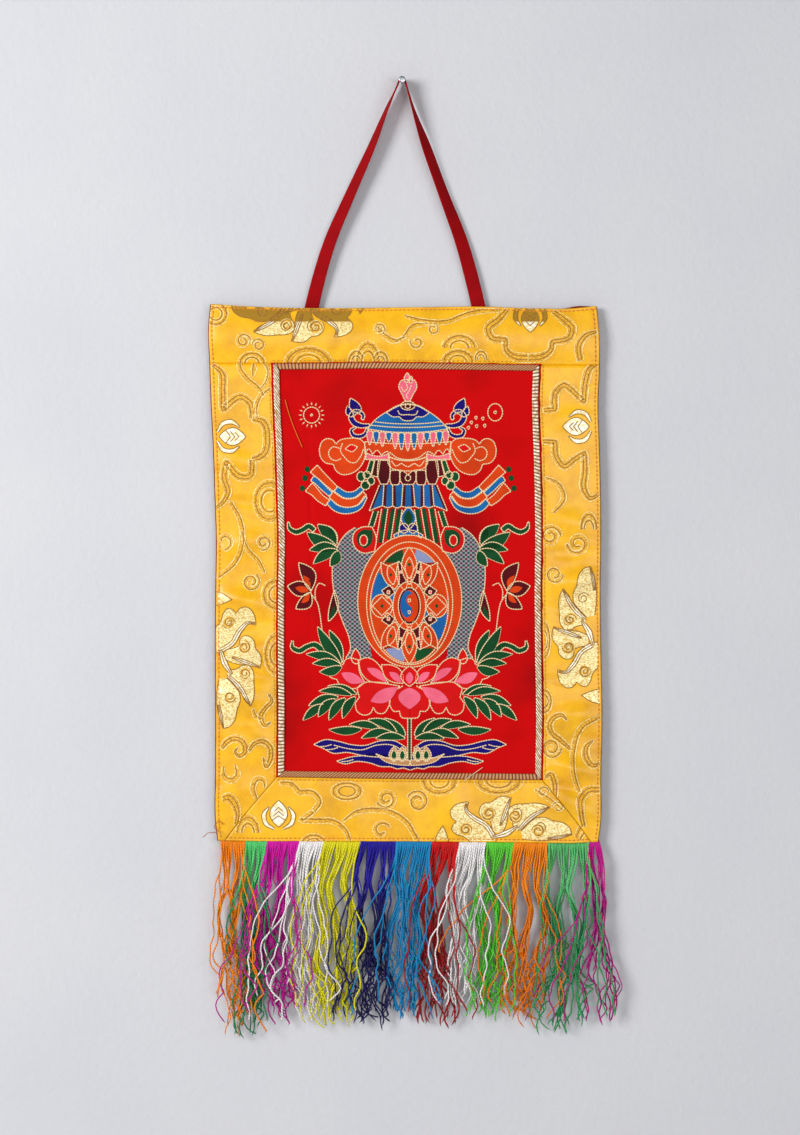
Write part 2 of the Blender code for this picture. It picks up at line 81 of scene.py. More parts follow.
# The cloth body, as in the part's source
BODY_WIDTH, BODY_HEIGHT, BODY_CENTRE_X, BODY_TOP_Z = 231.0, 320.4, 3.0, -136.2
BODY_LEFT_X = BODY_CENTRE_X - BODY_WIDTH / 2
BODY_RIGHT_X = BODY_CENTRE_X + BODY_WIDTH / 2
TOP_BORDER, LEFT_BORDER, RIGHT_BORDER, BOTTOM_BORDER = 33.2, 36.4, 34.8, 38.0
MITRE_FOOT = 4.0
BRAID_WIDTH = 3.7
PANEL_SHOWS_OUTSIDE_BRAID = 1.0
LINING_SHOWS = 0.6
TOP_PEEK, TOP_PEEK_ACROSS, TOP_PEEK_REACH = 1.4, 0.95, 0.03
LINING_FRONT, CLOTH_FRONT, BRAID_FRONT = 4.2, 5.6, 6.9
TOP_ROLL_HEIGHT = 3.2
NAIL_STANDS_OUT, NAIL_LENGTH, NAIL_RADIUS = 11.8, 30.0, 0.9
NAIL_HEAD_RADIUS, NAIL_HEAD_THICKNESS, NAIL_POINT_LENGTH = 2.0, 0.8, 3.2
RIBBON_WIDTH, RIBBON_THICKNESS = 8.3, 1.0
RIBBON_AT_NAIL_HEIGHT, RIBBON_END_HEIGHT = 6.0, 2.4
CLOTH_THICKNESS, LINING_THICKNESS, BRAID_THICKNESS = 1.0, 1.4, 0.75
# How far in from an edge, a seam and the heading's own top edge the stitching runs
EDGE_STITCH, SEAM_STITCH, HEADING_STITCH = 1.9, 1.3, 1.7
STITCH_WIDTH = 0.75
# How far a cloth's face stays clear of the lining, and over what height it comes to rest there
CLOTH_CLEARANCE, CLOTH_SETTLING = 0.45, 0.2
# How much fuller the folds of the sides and the foot are than their table says. The heading keeps the
# table's heights, because its roll pulls it smooth.
FOLDS = 2.9
# How far woven fills and lines stand off the cloth, each level of theirs, and a line's middle
FILL_LIFT, LINE_LIFT, LEVEL_LIFT, LINE_CROWN = 0.10, 0.15, 0.05, 0.16
# The emblem's axis at its wheel as seen from the front, where its mirror line runs and how it leans
EMBLEM_X, WHEEL_Z, MIRROR_X, MIRROR_LEAN = 3.0, -313.8, 1.2, -0.0075

# How far the two side edges hang off a straight cut, to the right
EdgeRow = namedtuple("EdgeRow", "drop left right")
EDGE_ROWS = [
    EdgeRow(0, -2.0, -1.8),
    EdgeRow(11, -3.2, -0.6),
    EdgeRow(34, -2.6, 0.0),
    EdgeRow(54, -1.9, -0.9),
    EdgeRow(85, -0.4, -0.1),
    EdgeRow(116, 0.6, 0.6),
    EdgeRow(137, 1.3, 0.7),
    EdgeRow(172, 0.9, 0.4),
    EdgeRow(206, 0.7, 0.8),
    EdgeRow(248, 0.9, 1.4),
    EdgeRow(280, 0.8, 0.7),
    EdgeRow(310, 0.9, 0.5),
    EdgeRow(321, 2.2, -0.9),
]

# How far the top edge, the upper seam, the lower seam and the bottom edge rise off level
LevelRow = namedtuple("LevelRow", "across top upper_seam lower_seam bottom")
LEVEL_ROWS = [
    LevelRow(0.00, 2.6, 0.2, 0.9, 0.9),
    LevelRow(0.06, 1.6, 0.2, 0.9, 0.5),
    LevelRow(0.24, 0.1, 0.3, 0.6, 0.4),
    LevelRow(0.40, 0.2, 0.8, 0.0, 0.3),
    LevelRow(0.55, 0.7, 0.5, -0.4, 0.2),
    LevelRow(0.70, 1.0, -0.1, -0.6, -0.1),
    LevelRow(0.85, -0.1, -0.6, -0.9, -0.5),
    LevelRow(0.94, 0.0, -0.7, -0.9, -0.7),
    LevelRow(1.00, 1.4, -0.8, -0.9, 0.2),
]

# Broad swells that lining and front share
Swell = namedtuple("Swell", "across drop reach height")
SWELLS = [
    Swell(0.02, 60, 46, 1.1),
    Swell(0.05, 215, 40, 0.9),
    Swell(0.98, 110, 44, 1.0),
    Swell(0.96, 262, 38, 1.3),
    Swell(0.30, 305, 42, 0.8),
    Swell(0.72, 318, 40, 1.0),
    Swell(0.50, 150, 60, 0.7),
]

# Soft ridges of the front cloth, and troughs where the height is below nothing
Ridge = namedtuple("Ridge", "across drop half_length half_width turn height")
BORDER_RIDGES = [
    Ridge(0.06, 92, 13, 6, 8, 0.7),
    Ridge(0.08, 141, 15, 7, -10, 0.9),
    Ridge(0.07, 176, 16, 6, 12, 1.2),
    Ridge(0.09, 206, 14, 6, -6, 0.9),
    Ridge(0.07, 234, 16, 7, 4, 1.3),
    Ridge(0.10, 262, 13, 6, 14, 0.9),
    Ridge(0.05, 290, 12, 6, -12, 0.6),
    Ridge(0.93, 66, 13, 6, -8, 0.6),
    Ridge(0.92, 128, 14, 7, 6, 0.8),
    Ridge(0.94, 163, 15, 6, -14, 1.3),
    Ridge(0.91, 200, 15, 7, 8, 0.8),
    Ridge(0.93, 243, 15, 6, -8, 1.1),
    Ridge(0.92, 275, 15, 6, 12, 1.4),
    Ridge(0.95, 299, 12, 6, 20, 1.0),
    Ridge(0.36, 304, 15, 7, 84, 0.5),
    Ridge(0.62, 300, 16, 8, 96, 0.6),
    Ridge(0.08, 117, 9, 2.5, 4, -0.7),
    Ridge(0.07, 190, 10, 2.5, -6, -0.9),
    Ridge(0.10, 221, 9, 2.5, 8, -0.8),
    Ridge(0.06, 249, 10, 3.0, -4, -1.0),
    Ridge(0.92, 146, 10, 3.0, -4, -0.9),
    Ridge(0.93, 182, 10, 2.5, 8, -0.8),
    Ridge(0.92, 222, 10, 3.0, -6, -0.9),
    Ridge(0.93, 259, 11, 3.0, -12, -1.1),
    Ridge(0.92, 287, 10, 2.5, 10, -0.8),
]
PANEL_RIDGES = [
    Ridge(0.33, 60, 32, 1.0, 1, -0.95),
    Ridge(0.765, 71, 22, 1.0, -2, -0.8),
    Ridge(0.62, 57, 10, 3.4, 0, -1.0),
    Ridge(0.247, 140, 60, 1.0, 90, -0.5),
    Ridge(0.73, 248, 24, 5.0, 8, -0.9),
    Ridge(0.30, 62, 34, 9, 2, 0.5),
    Ridge(0.66, 70, 30, 8, -4, 0.45),
    Ridge(0.34, 156, 30, 12, 8, 0.4),
    Ridge(0.70, 205, 26, 14, -10, 0.45),
    Ridge(0.30, 232, 24, 12, 4, 0.4),
    Ridge(0.62, 262, 28, 12, 30, 0.5),
]

# The ribbon's two legs at each fall below the nail: x of the middle line, and the turn in degrees
LegRow = namedtuple("LegRow", "fall left right left_turn right_turn")
LEG_ROWS = [
    LegRow(3, -2.9, 2.7, 88, 88),
    LegRow(17.4, -9.4, 7.0, 74, 77),
    LegRow(37.2, -17.4, 13.9, 57, 50),
    LegRow(67.2, -30.8, 24.8, 41, 40),
    LegRow(96.6, -43.4, 35.8, 26, 20),
    LegRow(122, -51.0, 42.9, 12, 4),
    LegRow(134.4, -54.0, 45.8, 0, 0),
    LegRow(152, -57.9, 49.2, 0, 0),
]

# The fringe's blocks: x of each left edge at the hem and at three falls below it. The second
# colour is that of the block's lower ends, darker in several blocks as painted shade of the twisted
# ends, and its last row is the right edge.
FRINGE_FALLS = (0, 28, 62, 110)
Block = namedtuple(
    "Block", "name colour lower_colour root upper lower end shortest longest strands locks tangle"
)
BLOCKS = [
    Block("orange_left", "FF9006", "F68A08", -109.2, -108.0, -109.2, -103.2, 92, 119, 20, 4, 0.9),
    Block("green_left", "5CD878", "0E8048", -93.9, -94.8, -96.0, -93.6, 96, 118, 22, 2, 0.9),
    Block("magenta_left", "DC00AC", "BE0090", -80.7, -84.6, -85.8, -84.0, 96, 111, 30, 3, 0.9),
    Block("white_left", "FBF7F6", "F6F0F0", -61.4, -66.0, -68.4, -66.0, 90, 111, 22, 4, 0.8),
    Block("yellow", "ECE418", "E6DE14", -46.4, -53.4, -52.2, -50.4, 98, 113, 32, 3, 0.8),
    Block("navy", "1E10A0", "0E0650", -24.6, -28.8, -27.0, -30.0, 98, 115, 30, 5, 0.8),
    Block("blue", "1090CC", "0C86C0", -3.3, -7.2, -7.8, -8.4, 98, 108, 30, 4, 0.4),
    Block("red", "D80606", "9C0203", 18.4, 13.8, 9.3, 13.2, 102, 113, 26, 3, 0.3),
    Block("white_right", "FBF7F6", "F6F0F0", 34.6, 29.4, 27.0, 32.4, 92, 105, 24, 4, 0.4),
    Block("lime", "66DA3C", "58CC34", 51.0, 46.8, 45.0, 45.6, 96, 109, 26, 4, 0.7),
    Block("orange_right", "FF9206", "EC7C06", 67.6, 61.5, 61.8, 58.8, 92, 112, 30, 3, 1.0),
    Block("green_right", "62CC78", "2E9C56", 87.6, 85.8, 87.6, 82.8, 96, 117, 30, 4, 0.8),
    Block("magenta_right", "CC0090", "B40080", 112.4, 112.2, 112.2, 107.4, 100, 112, 13, 2, 0.5),
    Block("right_edge", "CC0090", "B40080", 118.4, 123.0, 125.6, 132.6, 106, 112, 0, 1, 0),
]
# Threads that stray into the blocks beside them: how far across, where their own block is 0 to 1
WANDERERS = {
    "orange_left": (-0.4, -0.25, 1.3, 1.5, 1.8),
    "green_left": (-0.8, -0.4, 1.4, 1.9),
    "magenta_left": (-1.3, -0.9, -0.6, -0.4, 1.2, 1.35, 1.6),
    "white_left": (-1.6, -1.1, -0.8, -0.5, -0.3, 1.25, 1.5),
    "yellow": (-0.55, -0.35, -0.2, 1.15),
    "navy": (-0.75, -0.6, -0.45, -0.38, -0.3, 1.1),
    "blue": (-1.1, -0.5, -0.25, 1.15, 1.3, 1.5),
    "red": (-0.4, 1.15, 1.35, 1.7),
    "white_right": (-0.6, -0.4, 1.3, 2.0),
    "lime": (-0.5, -0.3, 1.2, 1.5),
    "orange_right": (-1.4, -0.6, -0.3, 1.2, 1.35),
    "green_right": (-0.3, -0.15, 1.2, 1.35, 1.6),
    "magenta_right": (-1.5, -0.8, -0.4),
}
# The slanting threads of the braid: their distance along it, and how far they run on across it
TWILL_PITCH = 2.1
TWILL_SLANT = 0.8

# The fringe's depths: blocks in turn hang before and behind each other, and strays hang in front
ODD_LAYERS = (7.6, 5.4)
EVEN_LAYERS = (4.3, 6.5)
FRONT_LAYER = (8.8, 10.2)
# The share of threads that were cut short, and how long those are beside the others
SHORT_SHARE, SHORT_LENGTH = 0.12, 0.72
# The distance between one turn of a fringe thread's twist and the next
TWIST_PITCH = 1.8

# Points this near to each other are one, in metres
VERTEX_WELD = 0.00001


def linear(hexadecimal):
    """An sRGB hex colour as linear red, green, blue and 1."""
    channels = [int(hexadecimal[i : i + 2], 16) / 255 for i in (0, 2, 4)]
    curve = [c / 12.92 if c <= 0.04045 else ((c + 0.055) / 1.055) ** 2.4 for c in channels]
    return (*curve, 1.0)


def colour_property(name, description, hexadecimal):
    return FloatVectorProperty(
        name=name,
        description=description,
        default=linear(hexadecimal),
        size=4,
        min=0.0,
        max=1.0,
        subtype="COLOR",
    )


def length_property(name, description, millimetres):
    return FloatProperty(
        name=name,
        description=description,
        default=millimetres * MM,
        min=0.0,
        unit="LENGTH",
        precision=5,
    )


class HangingSizes(bpy.types.PropertyGroup):
    """Sizes that change how fine or how uneven the dressed cloth is."""

    cloth_step: length_property("Cloth step", "Distance between the cloth mesh's points", 1.35)
    pucker: length_property("Pucker", "Height of the small puckers beside the seams", 0.3)
    outline_width: length_property("Outline width", "Width of the outline thread", 0.64)
    bead_pitch: length_property("Bead pitch", "Distance between the outline thread's knots", 1.5)
    stitch_length: length_property("Stitch length", "Length of one top stitch", 2.6)
    strand_radius: length_property("Strand radius", "Radius of one fringe thread", 0.47)
    strand_wave: length_property("Strand wave", "How far a fringe thread waves sideways", 1.0)
    wall_width: length_property("Wall width", "Width of the backdrop wall", 3600.0)
    fringe_seed: IntProperty(name="Fringe seed", description="Seed of the strands", default=11)


class HangingColours(bpy.types.PropertyGroup):
    """Colours of the cloths, threads and metal."""

    satin: colour_property("Satin", "Ground of the yellow borders", "F8BC08")
    satin_shade: colour_property("Satin shade", "Satin's threads seen end on", "C88004")
    panel: colour_property("Panel", "Ground of the woven panel", "BC0002")
    lining: colour_property("Lining", "The lining", "8E0A12")
    ribbon: colour_property("Ribbon", "The hanging ribbon", "A20007")
    stitch: colour_property("Stitch", "Orange top stitching on the edges", "E88A12")
    seam_stitch: colour_property("Seam stitch", "Yellow top stitching on the seams", "E8A818")
    steel: colour_property("Steel", "The nail", "D4D8DC")
    wall: colour_property("Wall", "Plaster of the backdrop", "CDCDD0")
    floor: colour_property("Floor", "The pale floor", "D8D6D2")


# Shapes of the hanging cloth


def smooth(at, places, values):
    """A cubic curve through a table's values, its slope at each row taken from the neighbours."""
    places = np.asarray(places, float)
    values = np.asarray(values, float)
    slopes = np.gradient(values, places)
    at = np.clip(at, places[0], places[-1])
    row = np.clip(np.searchsorted(places, at) - 1, 0, len(places) - 2)
    span = places[row + 1] - places[row]
    t = (at - places[row]) / span
    start = (2 * t**3 - 3 * t**2 + 1) * values[row] + (t**3 - 2 * t**2 + t) * span * slopes[row]
    end = (3 * t**2 - 2 * t**3) * values[row + 1] + (t**3 - t**2) * span * slopes[row + 1]
    return start + end


def column(rows, name):
    return [getattr(row, name) for row in rows]


def across_of(x):
    """The share of the body's width that lies left of x in the flat cut."""
    return (x - BODY_LEFT_X) / BODY_WIDTH


def swell(across, drop):
    """How far lining and front stand off together: a sum of round soft swells."""
    total = 0.0
    for bump in SWELLS:
        squared = ((across - bump.across) * BODY_WIDTH) ** 2 + (drop - bump.drop) ** 2
        total = total + bump.height * np.exp(-squared / (2 * bump.reach**2))
    return total


def ridges(rows, across, drop):
    """How far soft ridges lift the front cloth: a long bump along each ridge's turn."""
    total = 0.0
    for ridge in rows:
        sideways = (across - ridge.across) * BODY_WIDTH
        down = drop - ridge.drop
        turn = math.radians(ridge.turn)
        along = sideways * math.cos(turn) + down * math.sin(turn)
        athwart = down * math.cos(turn) - sideways * math.sin(turn)
        fall = (along / ridge.half_length) ** 2 + (athwart / ridge.half_width) ** 2
        total = total + ridge.height * np.exp(-fall)
    return total


def hang(x, drop, height):
    """Places in the hanging cloth of points of the flat cut, at heights above the wall.

    The side edges and four levels of the cloth each follow a table, and the points between them
    are carried along in proportion.
    """
    inside = np.clip(across_of(x), 0.0, 1.0)
    left = smooth(drop, column(EDGE_ROWS, "drop"), column(EDGE_ROWS, "left"))
    right = smooth(drop, column(EDGE_ROWS, "drop"), column(EDGE_ROWS, "right"))
    levels = [
        smooth(inside, column(LEVEL_ROWS, "across"), column(LEVEL_ROWS, name))
        for name in ("top", "upper_seam", "lower_seam", "bottom")
    ]
    drops = [0.0, TOP_BORDER, BODY_HEIGHT - BOTTOM_BORDER, BODY_HEIGHT]
    rise = levels[0]
    for upper, lower, high, low in zip(levels, levels[1:], drops, drops[1:]):
        share = np.clip((drop - high) / (low - high), 0.0, 1.0)
        rise = rise + (lower - upper) * share
    seen_x = x + left + (right - left) * inside
    return np.stack([seen_x, -(height + swell(inside, drop)), BODY_TOP_Z - drop + rise], axis=-1)


def flat_from_seen(x, z):
    """Flat cut's x and drop of points seen at x and z: each guess is moved by what it misses."""
    cut_x = np.array(x, float)
    drop = BODY_TOP_Z - np.array(z, float)
    for _ in range(6):
        place = hang(cut_x, drop, 0.0)
        cut_x = cut_x + (x - place[..., 0])
        drop = drop + (place[..., 2] - z)
    return cut_x, drop


def puckers(along, away, seed):
    """Small uneven puckers beside a seam: four waves of unlike length, dying away from it."""
    shift = 1.7 * seed
    wave = (
        np.sin(along / 1.37 + shift)
        + 0.8 * np.sin(along / 2.11 + 2.3 * shift)
        + 0.7 * np.sin(along / 0.93 + 0.7 * shift) * np.sin(along / 17.0 + shift)
        + 0.9 * np.sin(along / 3.7 + 1.1 * shift)
    )
    return 0.5 * wave * np.exp(-np.clip(away, 0, None) / 4.5)


def folded_edge(distance, radius):
    """How far a turned edge drops back: a quarter circle over the last of its width."""
    inward = np.clip(distance / radius, 0.0, 1.0)
    return radius * (1 - np.sqrt(1 - (1 - inward) ** 2))


def pressed(distance, stitched_at):
    """How far a row of stitching presses the cloth in: a soft groove along it."""
    return 0.3 * np.exp(-(((distance - stitched_at) / 0.9) ** 2))


def mitre_drop(into_border, border_width):
    """Drop of the mitre at a distance in from the side edge: level at its foot, then rising."""
    share = np.clip(into_border - MITRE_FOOT, 0.0, None) / (border_width - MITRE_FOOT)
    return BODY_HEIGHT - share * BOTTOM_BORDER


def above_lining(height):
    """A height kept clear of the lining: floor + s x ln(1 + e^((height - floor) / s))."""
    floor = LINING_FRONT + CLOTH_CLEARANCE
    return floor + CLOTH_SETTLING * np.logaddexp(0, (height - floor) / CLOTH_SETTLING)


def top_border_height(x, drop, pucker):
    """The heading: a soft roll, fullest below its middle, lower at the two ends, puckered."""
    u = np.clip(across_of(x), 0.004, 0.996)
    share = np.clip(drop / TOP_BORDER, 0.0, 1.0)
    roll = TOP_ROLL_HEIGHT * np.sin(math.pi * share**1.15) ** 1.2 * np.sin(math.pi * u) ** 0.18
    height = above_lining(CLOTH_FRONT + roll + ridges(BORDER_RIDGES, across_of(x), drop))
    height = height + pucker * puckers(x, TOP_BORDER - drop, 1)
    height = height + 0.6 * pucker * puckers(x, drop, 2)
    sides = np.minimum(x - BODY_LEFT_X, BODY_RIGHT_X - x)
    height = height - pressed(drop, HEADING_STITCH) - pressed(TOP_BORDER - drop, SEAM_STITCH)
    height = height - pressed(sides, EDGE_STITCH)
    return height - folded_edge(drop, 1.0) - folded_edge(sides, 0.9) - folded_edge(TOP_BORDER - drop, 0.6)


def side_border_height(x, drop, pucker, side):
    """A side border: its table of ridges dying away at the seams, with puckers along both edges."""
    width = LEFT_BORDER if side < 0 else RIGHT_BORDER
    inward = x - BODY_LEFT_X if side < 0 else BODY_RIGHT_X - x
    fade = np.sin(math.pi * np.clip(inward / width, 0.0, 1.0)) ** 0.5
    height = above_lining(CLOTH_FRONT + FOLDS * ridges(BORDER_RIDGES, across_of(x), drop) * fade)
    height = height + pucker * puckers(drop, width - inward, 3 + side)
    height = height + 0.8 * pucker * puckers(drop, inward, 6 + side)
    height = height - pressed(inward, EDGE_STITCH) - pressed(width - inward, SEAM_STITCH)
    height = height - folded_edge(drop - TOP_BORDER, 0.7)
    return height - folded_edge(inward, 0.9) - folded_edge(width - inward, 0.5)


def bottom_border_height(x, drop, pucker):
    """The bottom border: ridges dying away at its seams, with puckers along hem and seam."""
    v = (BODY_HEIGHT - drop) / BOTTOM_BORDER
    fade = np.sin(math.pi * np.clip(v, 0.02, 0.98)) ** 0.5
    height = above_lining(CLOTH_FRONT + FOLDS * ridges(BORDER_RIDGES, across_of(x), drop) * fade)
    height = height + pucker * puckers(x, (1 - v) * BOTTOM_BORDER, 8)
    height = height + 0.8 * pucker * puckers(x, v * BOTTOM_BORDER, 9)
    height = height - pressed(BODY_HEIGHT - drop, EDGE_STITCH)
    height = height - pressed((1 - v) * BOTTOM_BORDER, SEAM_STITCH)
    return height - folded_edge(BODY_HEIGHT - drop, 0.9)


def panel_height(x, drop):
    """The woven panel: soft ridges and creases that die away at its four edges."""
    left, right = BODY_LEFT_X + LEFT_BORDER, BODY_RIGHT_X - RIGHT_BORDER
    top, bottom = TOP_BORDER, BODY_HEIGHT - BOTTOM_BORDER
    u = np.clip((x - left) / (right - left), 0.0, 1.0)
    v = np.clip((drop - top) / (bottom - top), 0.0, 1.0)
    inside = np.minimum(np.minimum(u, 1 - u) * (right - left), np.minimum(v, 1 - v) * (bottom - top))
    fade = 1 - np.exp(-((inside / 9) ** 2))
    return above_lining(CLOTH_FRONT + ridges(PANEL_RIDGES, across_of(x), drop) * fade)


# Meshes

Patch = namedtuple("Patch", "points uv")


def grid_faces(rows, columns):
    """Corner numbers of the quads between a grid's points, which run row by row."""
    row = np.arange(rows - 1)[:, None] * columns
    first = row + np.arange(columns - 1)[None, :]
    return np.stack([first, first + 1, first + 1 + columns, first + columns], axis=-1).reshape(-1, 4)


def faces_towards(points, faces, towards):
    """The faces, turned round where most of their area would face away from a direction."""
    corners = points[faces]
    normals = np.cross(corners[:, 2] - corners[:, 0], corners[:, 3] - corners[:, 1])
    return faces if (normals @ np.asarray(towards, float)).sum() > 0 else faces[:, ::-1]


def patch_of(points, uv=None, towards=(0, -1, 0)):
    """A grid of points with its faces and its UV places in mm."""
    rows, columns = points.shape[:2]
    flat = points.reshape(-1, 3)
    faces = grid_faces(rows, columns)
    if towards is not None:
        faces = faces_towards(flat, faces, towards)
    places = flat[:, (0, 2)] if uv is None else uv.reshape(-1, 2)
    return flat, faces, places


def mesh_piece(name, patches, material, replaces=(), weld=True, smooth_shade=True):
    """One mesh from many patches, whose points in mm become metres, riding on the one body."""
    counts = np.cumsum([0] + [len(points) for points, _, _ in patches])
    points = np.concatenate([points for points, _, _ in patches]) * MM
    faces = np.concatenate([faces + start for (_, faces, _), start in zip(patches, counts)])
    places = np.concatenate([uv for _, _, uv in patches]) * MM
    mesh = bpy.data.meshes.new(name)
    mesh.vertices.add(len(points))
    mesh.vertices.foreach_set("co", points.astype(np.float32).ravel())
    mesh.loops.add(faces.size)
    mesh.loops.foreach_set("vertex_index", faces.astype(np.int32).ravel())
    mesh.polygons.add(len(faces))
    mesh.polygons.foreach_set("loop_start", np.arange(0, faces.size, 4, dtype=np.int32))
    layer = mesh.uv_layers.new(name="Cloth")
    layer.data.foreach_set("uv", places[faces.ravel()].astype(np.float32).ravel())
    mesh.update(calc_edges=True)
    if weld:
        shape = bmesh.new()
        shape.from_mesh(mesh)
        bmesh.ops.remove_doubles(shape, verts=shape.verts, dist=VERTEX_WELD)
        shape.to_mesh(mesh)
        shape.free()
    mesh.polygons.foreach_set("use_smooth", np.full(len(mesh.polygons), smooth_shade))
    mesh.materials.append(material)
    piece = bpy.data.objects.new(name, mesh)
    bpy.context.scene.collection.objects.link(piece)
    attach(piece, "root")
    if replaces:
        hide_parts(*replaces)
    return piece


def thicken(piece, thickness):
    """Gives a sheet its thickness behind its face."""
    solid = piece.modifiers.new("Cloth thickness", "SOLIDIFY")
    solid.thickness = thickness * MM
    solid.offset = -1.0
    solid.use_even_offset = False


def spaced(start, end, step, close=(0.0, 0.3, 0.6, 0.9, 1.4)):
    """Places from start to end, close together at both ends and a step apart between them."""
    length = abs(end - start)
    inner = np.arange(close[-1] + step, length - close[-1] - step * 0.5, step)
    places = np.concatenate([close, inner, length - np.array(close)[::-1]])
    return start + np.sign(end - start) * places


def node(tree, kind, inputs=None, **settings):
    """Adds a node, sets its properties, and sets or links each input that is named or numbered."""
    made = tree.nodes.new(kind)
    for name, value in settings.items():
        setattr(made, name, value)
    for key, value in (inputs or {}).items():
        if isinstance(value, bpy.types.NodeSocket):
            tree.links.new(value, made.inputs[key])
        else:
            made.inputs[key].default_value = value
    return made


def sizes():
    return bpy.context.scene.hanging_sizes


def colours():
    return bpy.context.scene.hanging_colours


def new_material(name, roughness, metallic=0.0, specular=0.5):
    """A material whose constants sit on the shader's own sockets; gives it, its tree and shader."""
    made = bpy.data.materials.new(name)
    made.use_nodes = True
    shader = made.node_tree.nodes["Principled BSDF"]
    shader.inputs["Roughness"].default_value = roughness
    shader.inputs["Metallic"].default_value = metallic
    if not metallic:
        shader.inputs["Specular IOR Level"].default_value = specular
    return made, made.node_tree, shader


def band_scale(pitch):
    """The Wave Texture scale that gives bands this many mm apart on coordinates in metres."""
    return math.pi / (10 * pitch * MM)


def turned(tree, vector, degrees):
    """A pattern's places, turned in the cloth's plane."""
    turn = {"Vector": vector, "Rotation": (0.0, math.radians(degrees), 0.0)}
    return node(tree, "ShaderNodeMapping", turn, vector_type="POINT").outputs["Vector"]


def object_place(tree):
    return node(tree, "ShaderNodeTexCoord").outputs["Object"]


def thread_place(tree):
    """Places along and across a thread or tape, from its own UV map."""
    return node(tree, "ShaderNodeTexCoord").outputs["UV"]


def sine_along(tree, place, pitch):
    """A wave from -1 to 1 that comes again after each pitch in mm."""
    turn = node(tree, "ShaderNodeMath", {0: place, 1: 2 * math.pi / (pitch * MM)}, operation="MULTIPLY")
    return node(tree, "ShaderNodeMath", {0: turn.outputs[0]}, operation="SINE").outputs[0]


def mixed(tree, share, first, second):
    """A colour between two others."""
    return node(tree, "ShaderNodeMix", {0: share, 6: first, 7: second}, data_type="RGBA").outputs[2]


def bumped(tree, shader, height, strength, distance):
    """Lights the surface by a height pattern, distance mm deep."""
    bump = node(tree, "ShaderNodeBump", {"Height": height, "Strength": strength, "Distance": distance * MM})
    tree.links.new(bump.outputs["Normal"], shader.inputs["Normal"])


def satin_weave(name, light, shade, roughness, metallic, pitch, turn, depth):
    """Satin: long floats lying side by side. It shines, with fine lines, soft clouds of uneven tone and
    painted shade, and blotches of painted fold shade.

    The real threads are about 0.3 mm apart, too fine to show, so the lines are drawn coarser.
    """
    made, tree, shader = new_material(name, roughness, metallic)
    place = object_place(tree)
    floats = {
        "Vector": turned(tree, place, turn), "Scale": band_scale(pitch), "Distortion": 0.6, "Detail": 1.0
    }
    line = node(tree, "ShaderNodeTexWave", floats, bands_direction="X").outputs["Fac"]
    # Soft clouds that mix in the shade colour: uneven tone, and painted shade of small puckers
    clouds = {"Vector": place, "Scale": 70.0, "Detail": 5.0, "Roughness": 0.65}
    cloud = node(tree, "ShaderNodeTexNoise", clouds).outputs["Fac"]
    cloudy = node(tree, "ShaderNodeMapRange", {"Value": cloud, 1: 0.38, 2: 0.72, 4: 0.5}).outputs[0]
    share = node(tree, "ShaderNodeMath", {0: line, 1: 0.25, 2: cloudy}, operation="MULTIPLY_ADD").outputs[0]
    # Blotches of painted shade, as if folds held the cloth out of the light: there the colour is darkened to
    # 0.72 of its value
    blotches = node(tree, "ShaderNodeTexNoise", {"Vector": place, "Scale": 34.0, "Detail": 2.0}).outputs["Fac"]
    painted_fold_shade = node(tree, "ShaderNodeMapRange", {"Value": blotches, 1: 0.54, 2: 0.74, 4: 0.6}).outputs[0]
    ground = mixed(tree, share, light, shade)
    deep = node(tree, "ShaderNodeHueSaturation", {"Value": 0.72, "Color": ground}).outputs[0]
    tree.links.new(mixed(tree, painted_fold_shade, ground, deep), shader.inputs["Base Color"])
    bumped(tree, shader, line, 0.5, depth)
    return made, tree, shader


# Colours of thread in the woven emblem
THREADS = {
    "orange": ("D84006", "A62A02"),
    "blue": ("1468A8", "0A3F7C"),
    "navy": ("120270", "07014A"),
    "green": ("0A4A22", "042C12"),
    "maroon": ("56000C", "340006"),
    "pink": ("EC6C84", "CC4460"),
    "red": ("D40606", "B00202"),
    "grey_blue": ("8A94B8", "626C94"),
    "tan": ("C8925E", "966040"),
}


def cloth_sheet(name, x_places, drop_places, height, material):
    """A sheet on a grid: height(x, drop) gives how far each point stands off the wall."""
    x, drop = np.broadcast_arrays(x_places, drop_places)
    points = hang(x, drop, height(x, drop))
    uv = np.stack([x, -drop], axis=-1)
    piece = mesh_piece(name + "_cloth", [patch_of(points, uv)], material, (name,), weld=False)
    thicken(piece, CLOTH_THICKNESS)


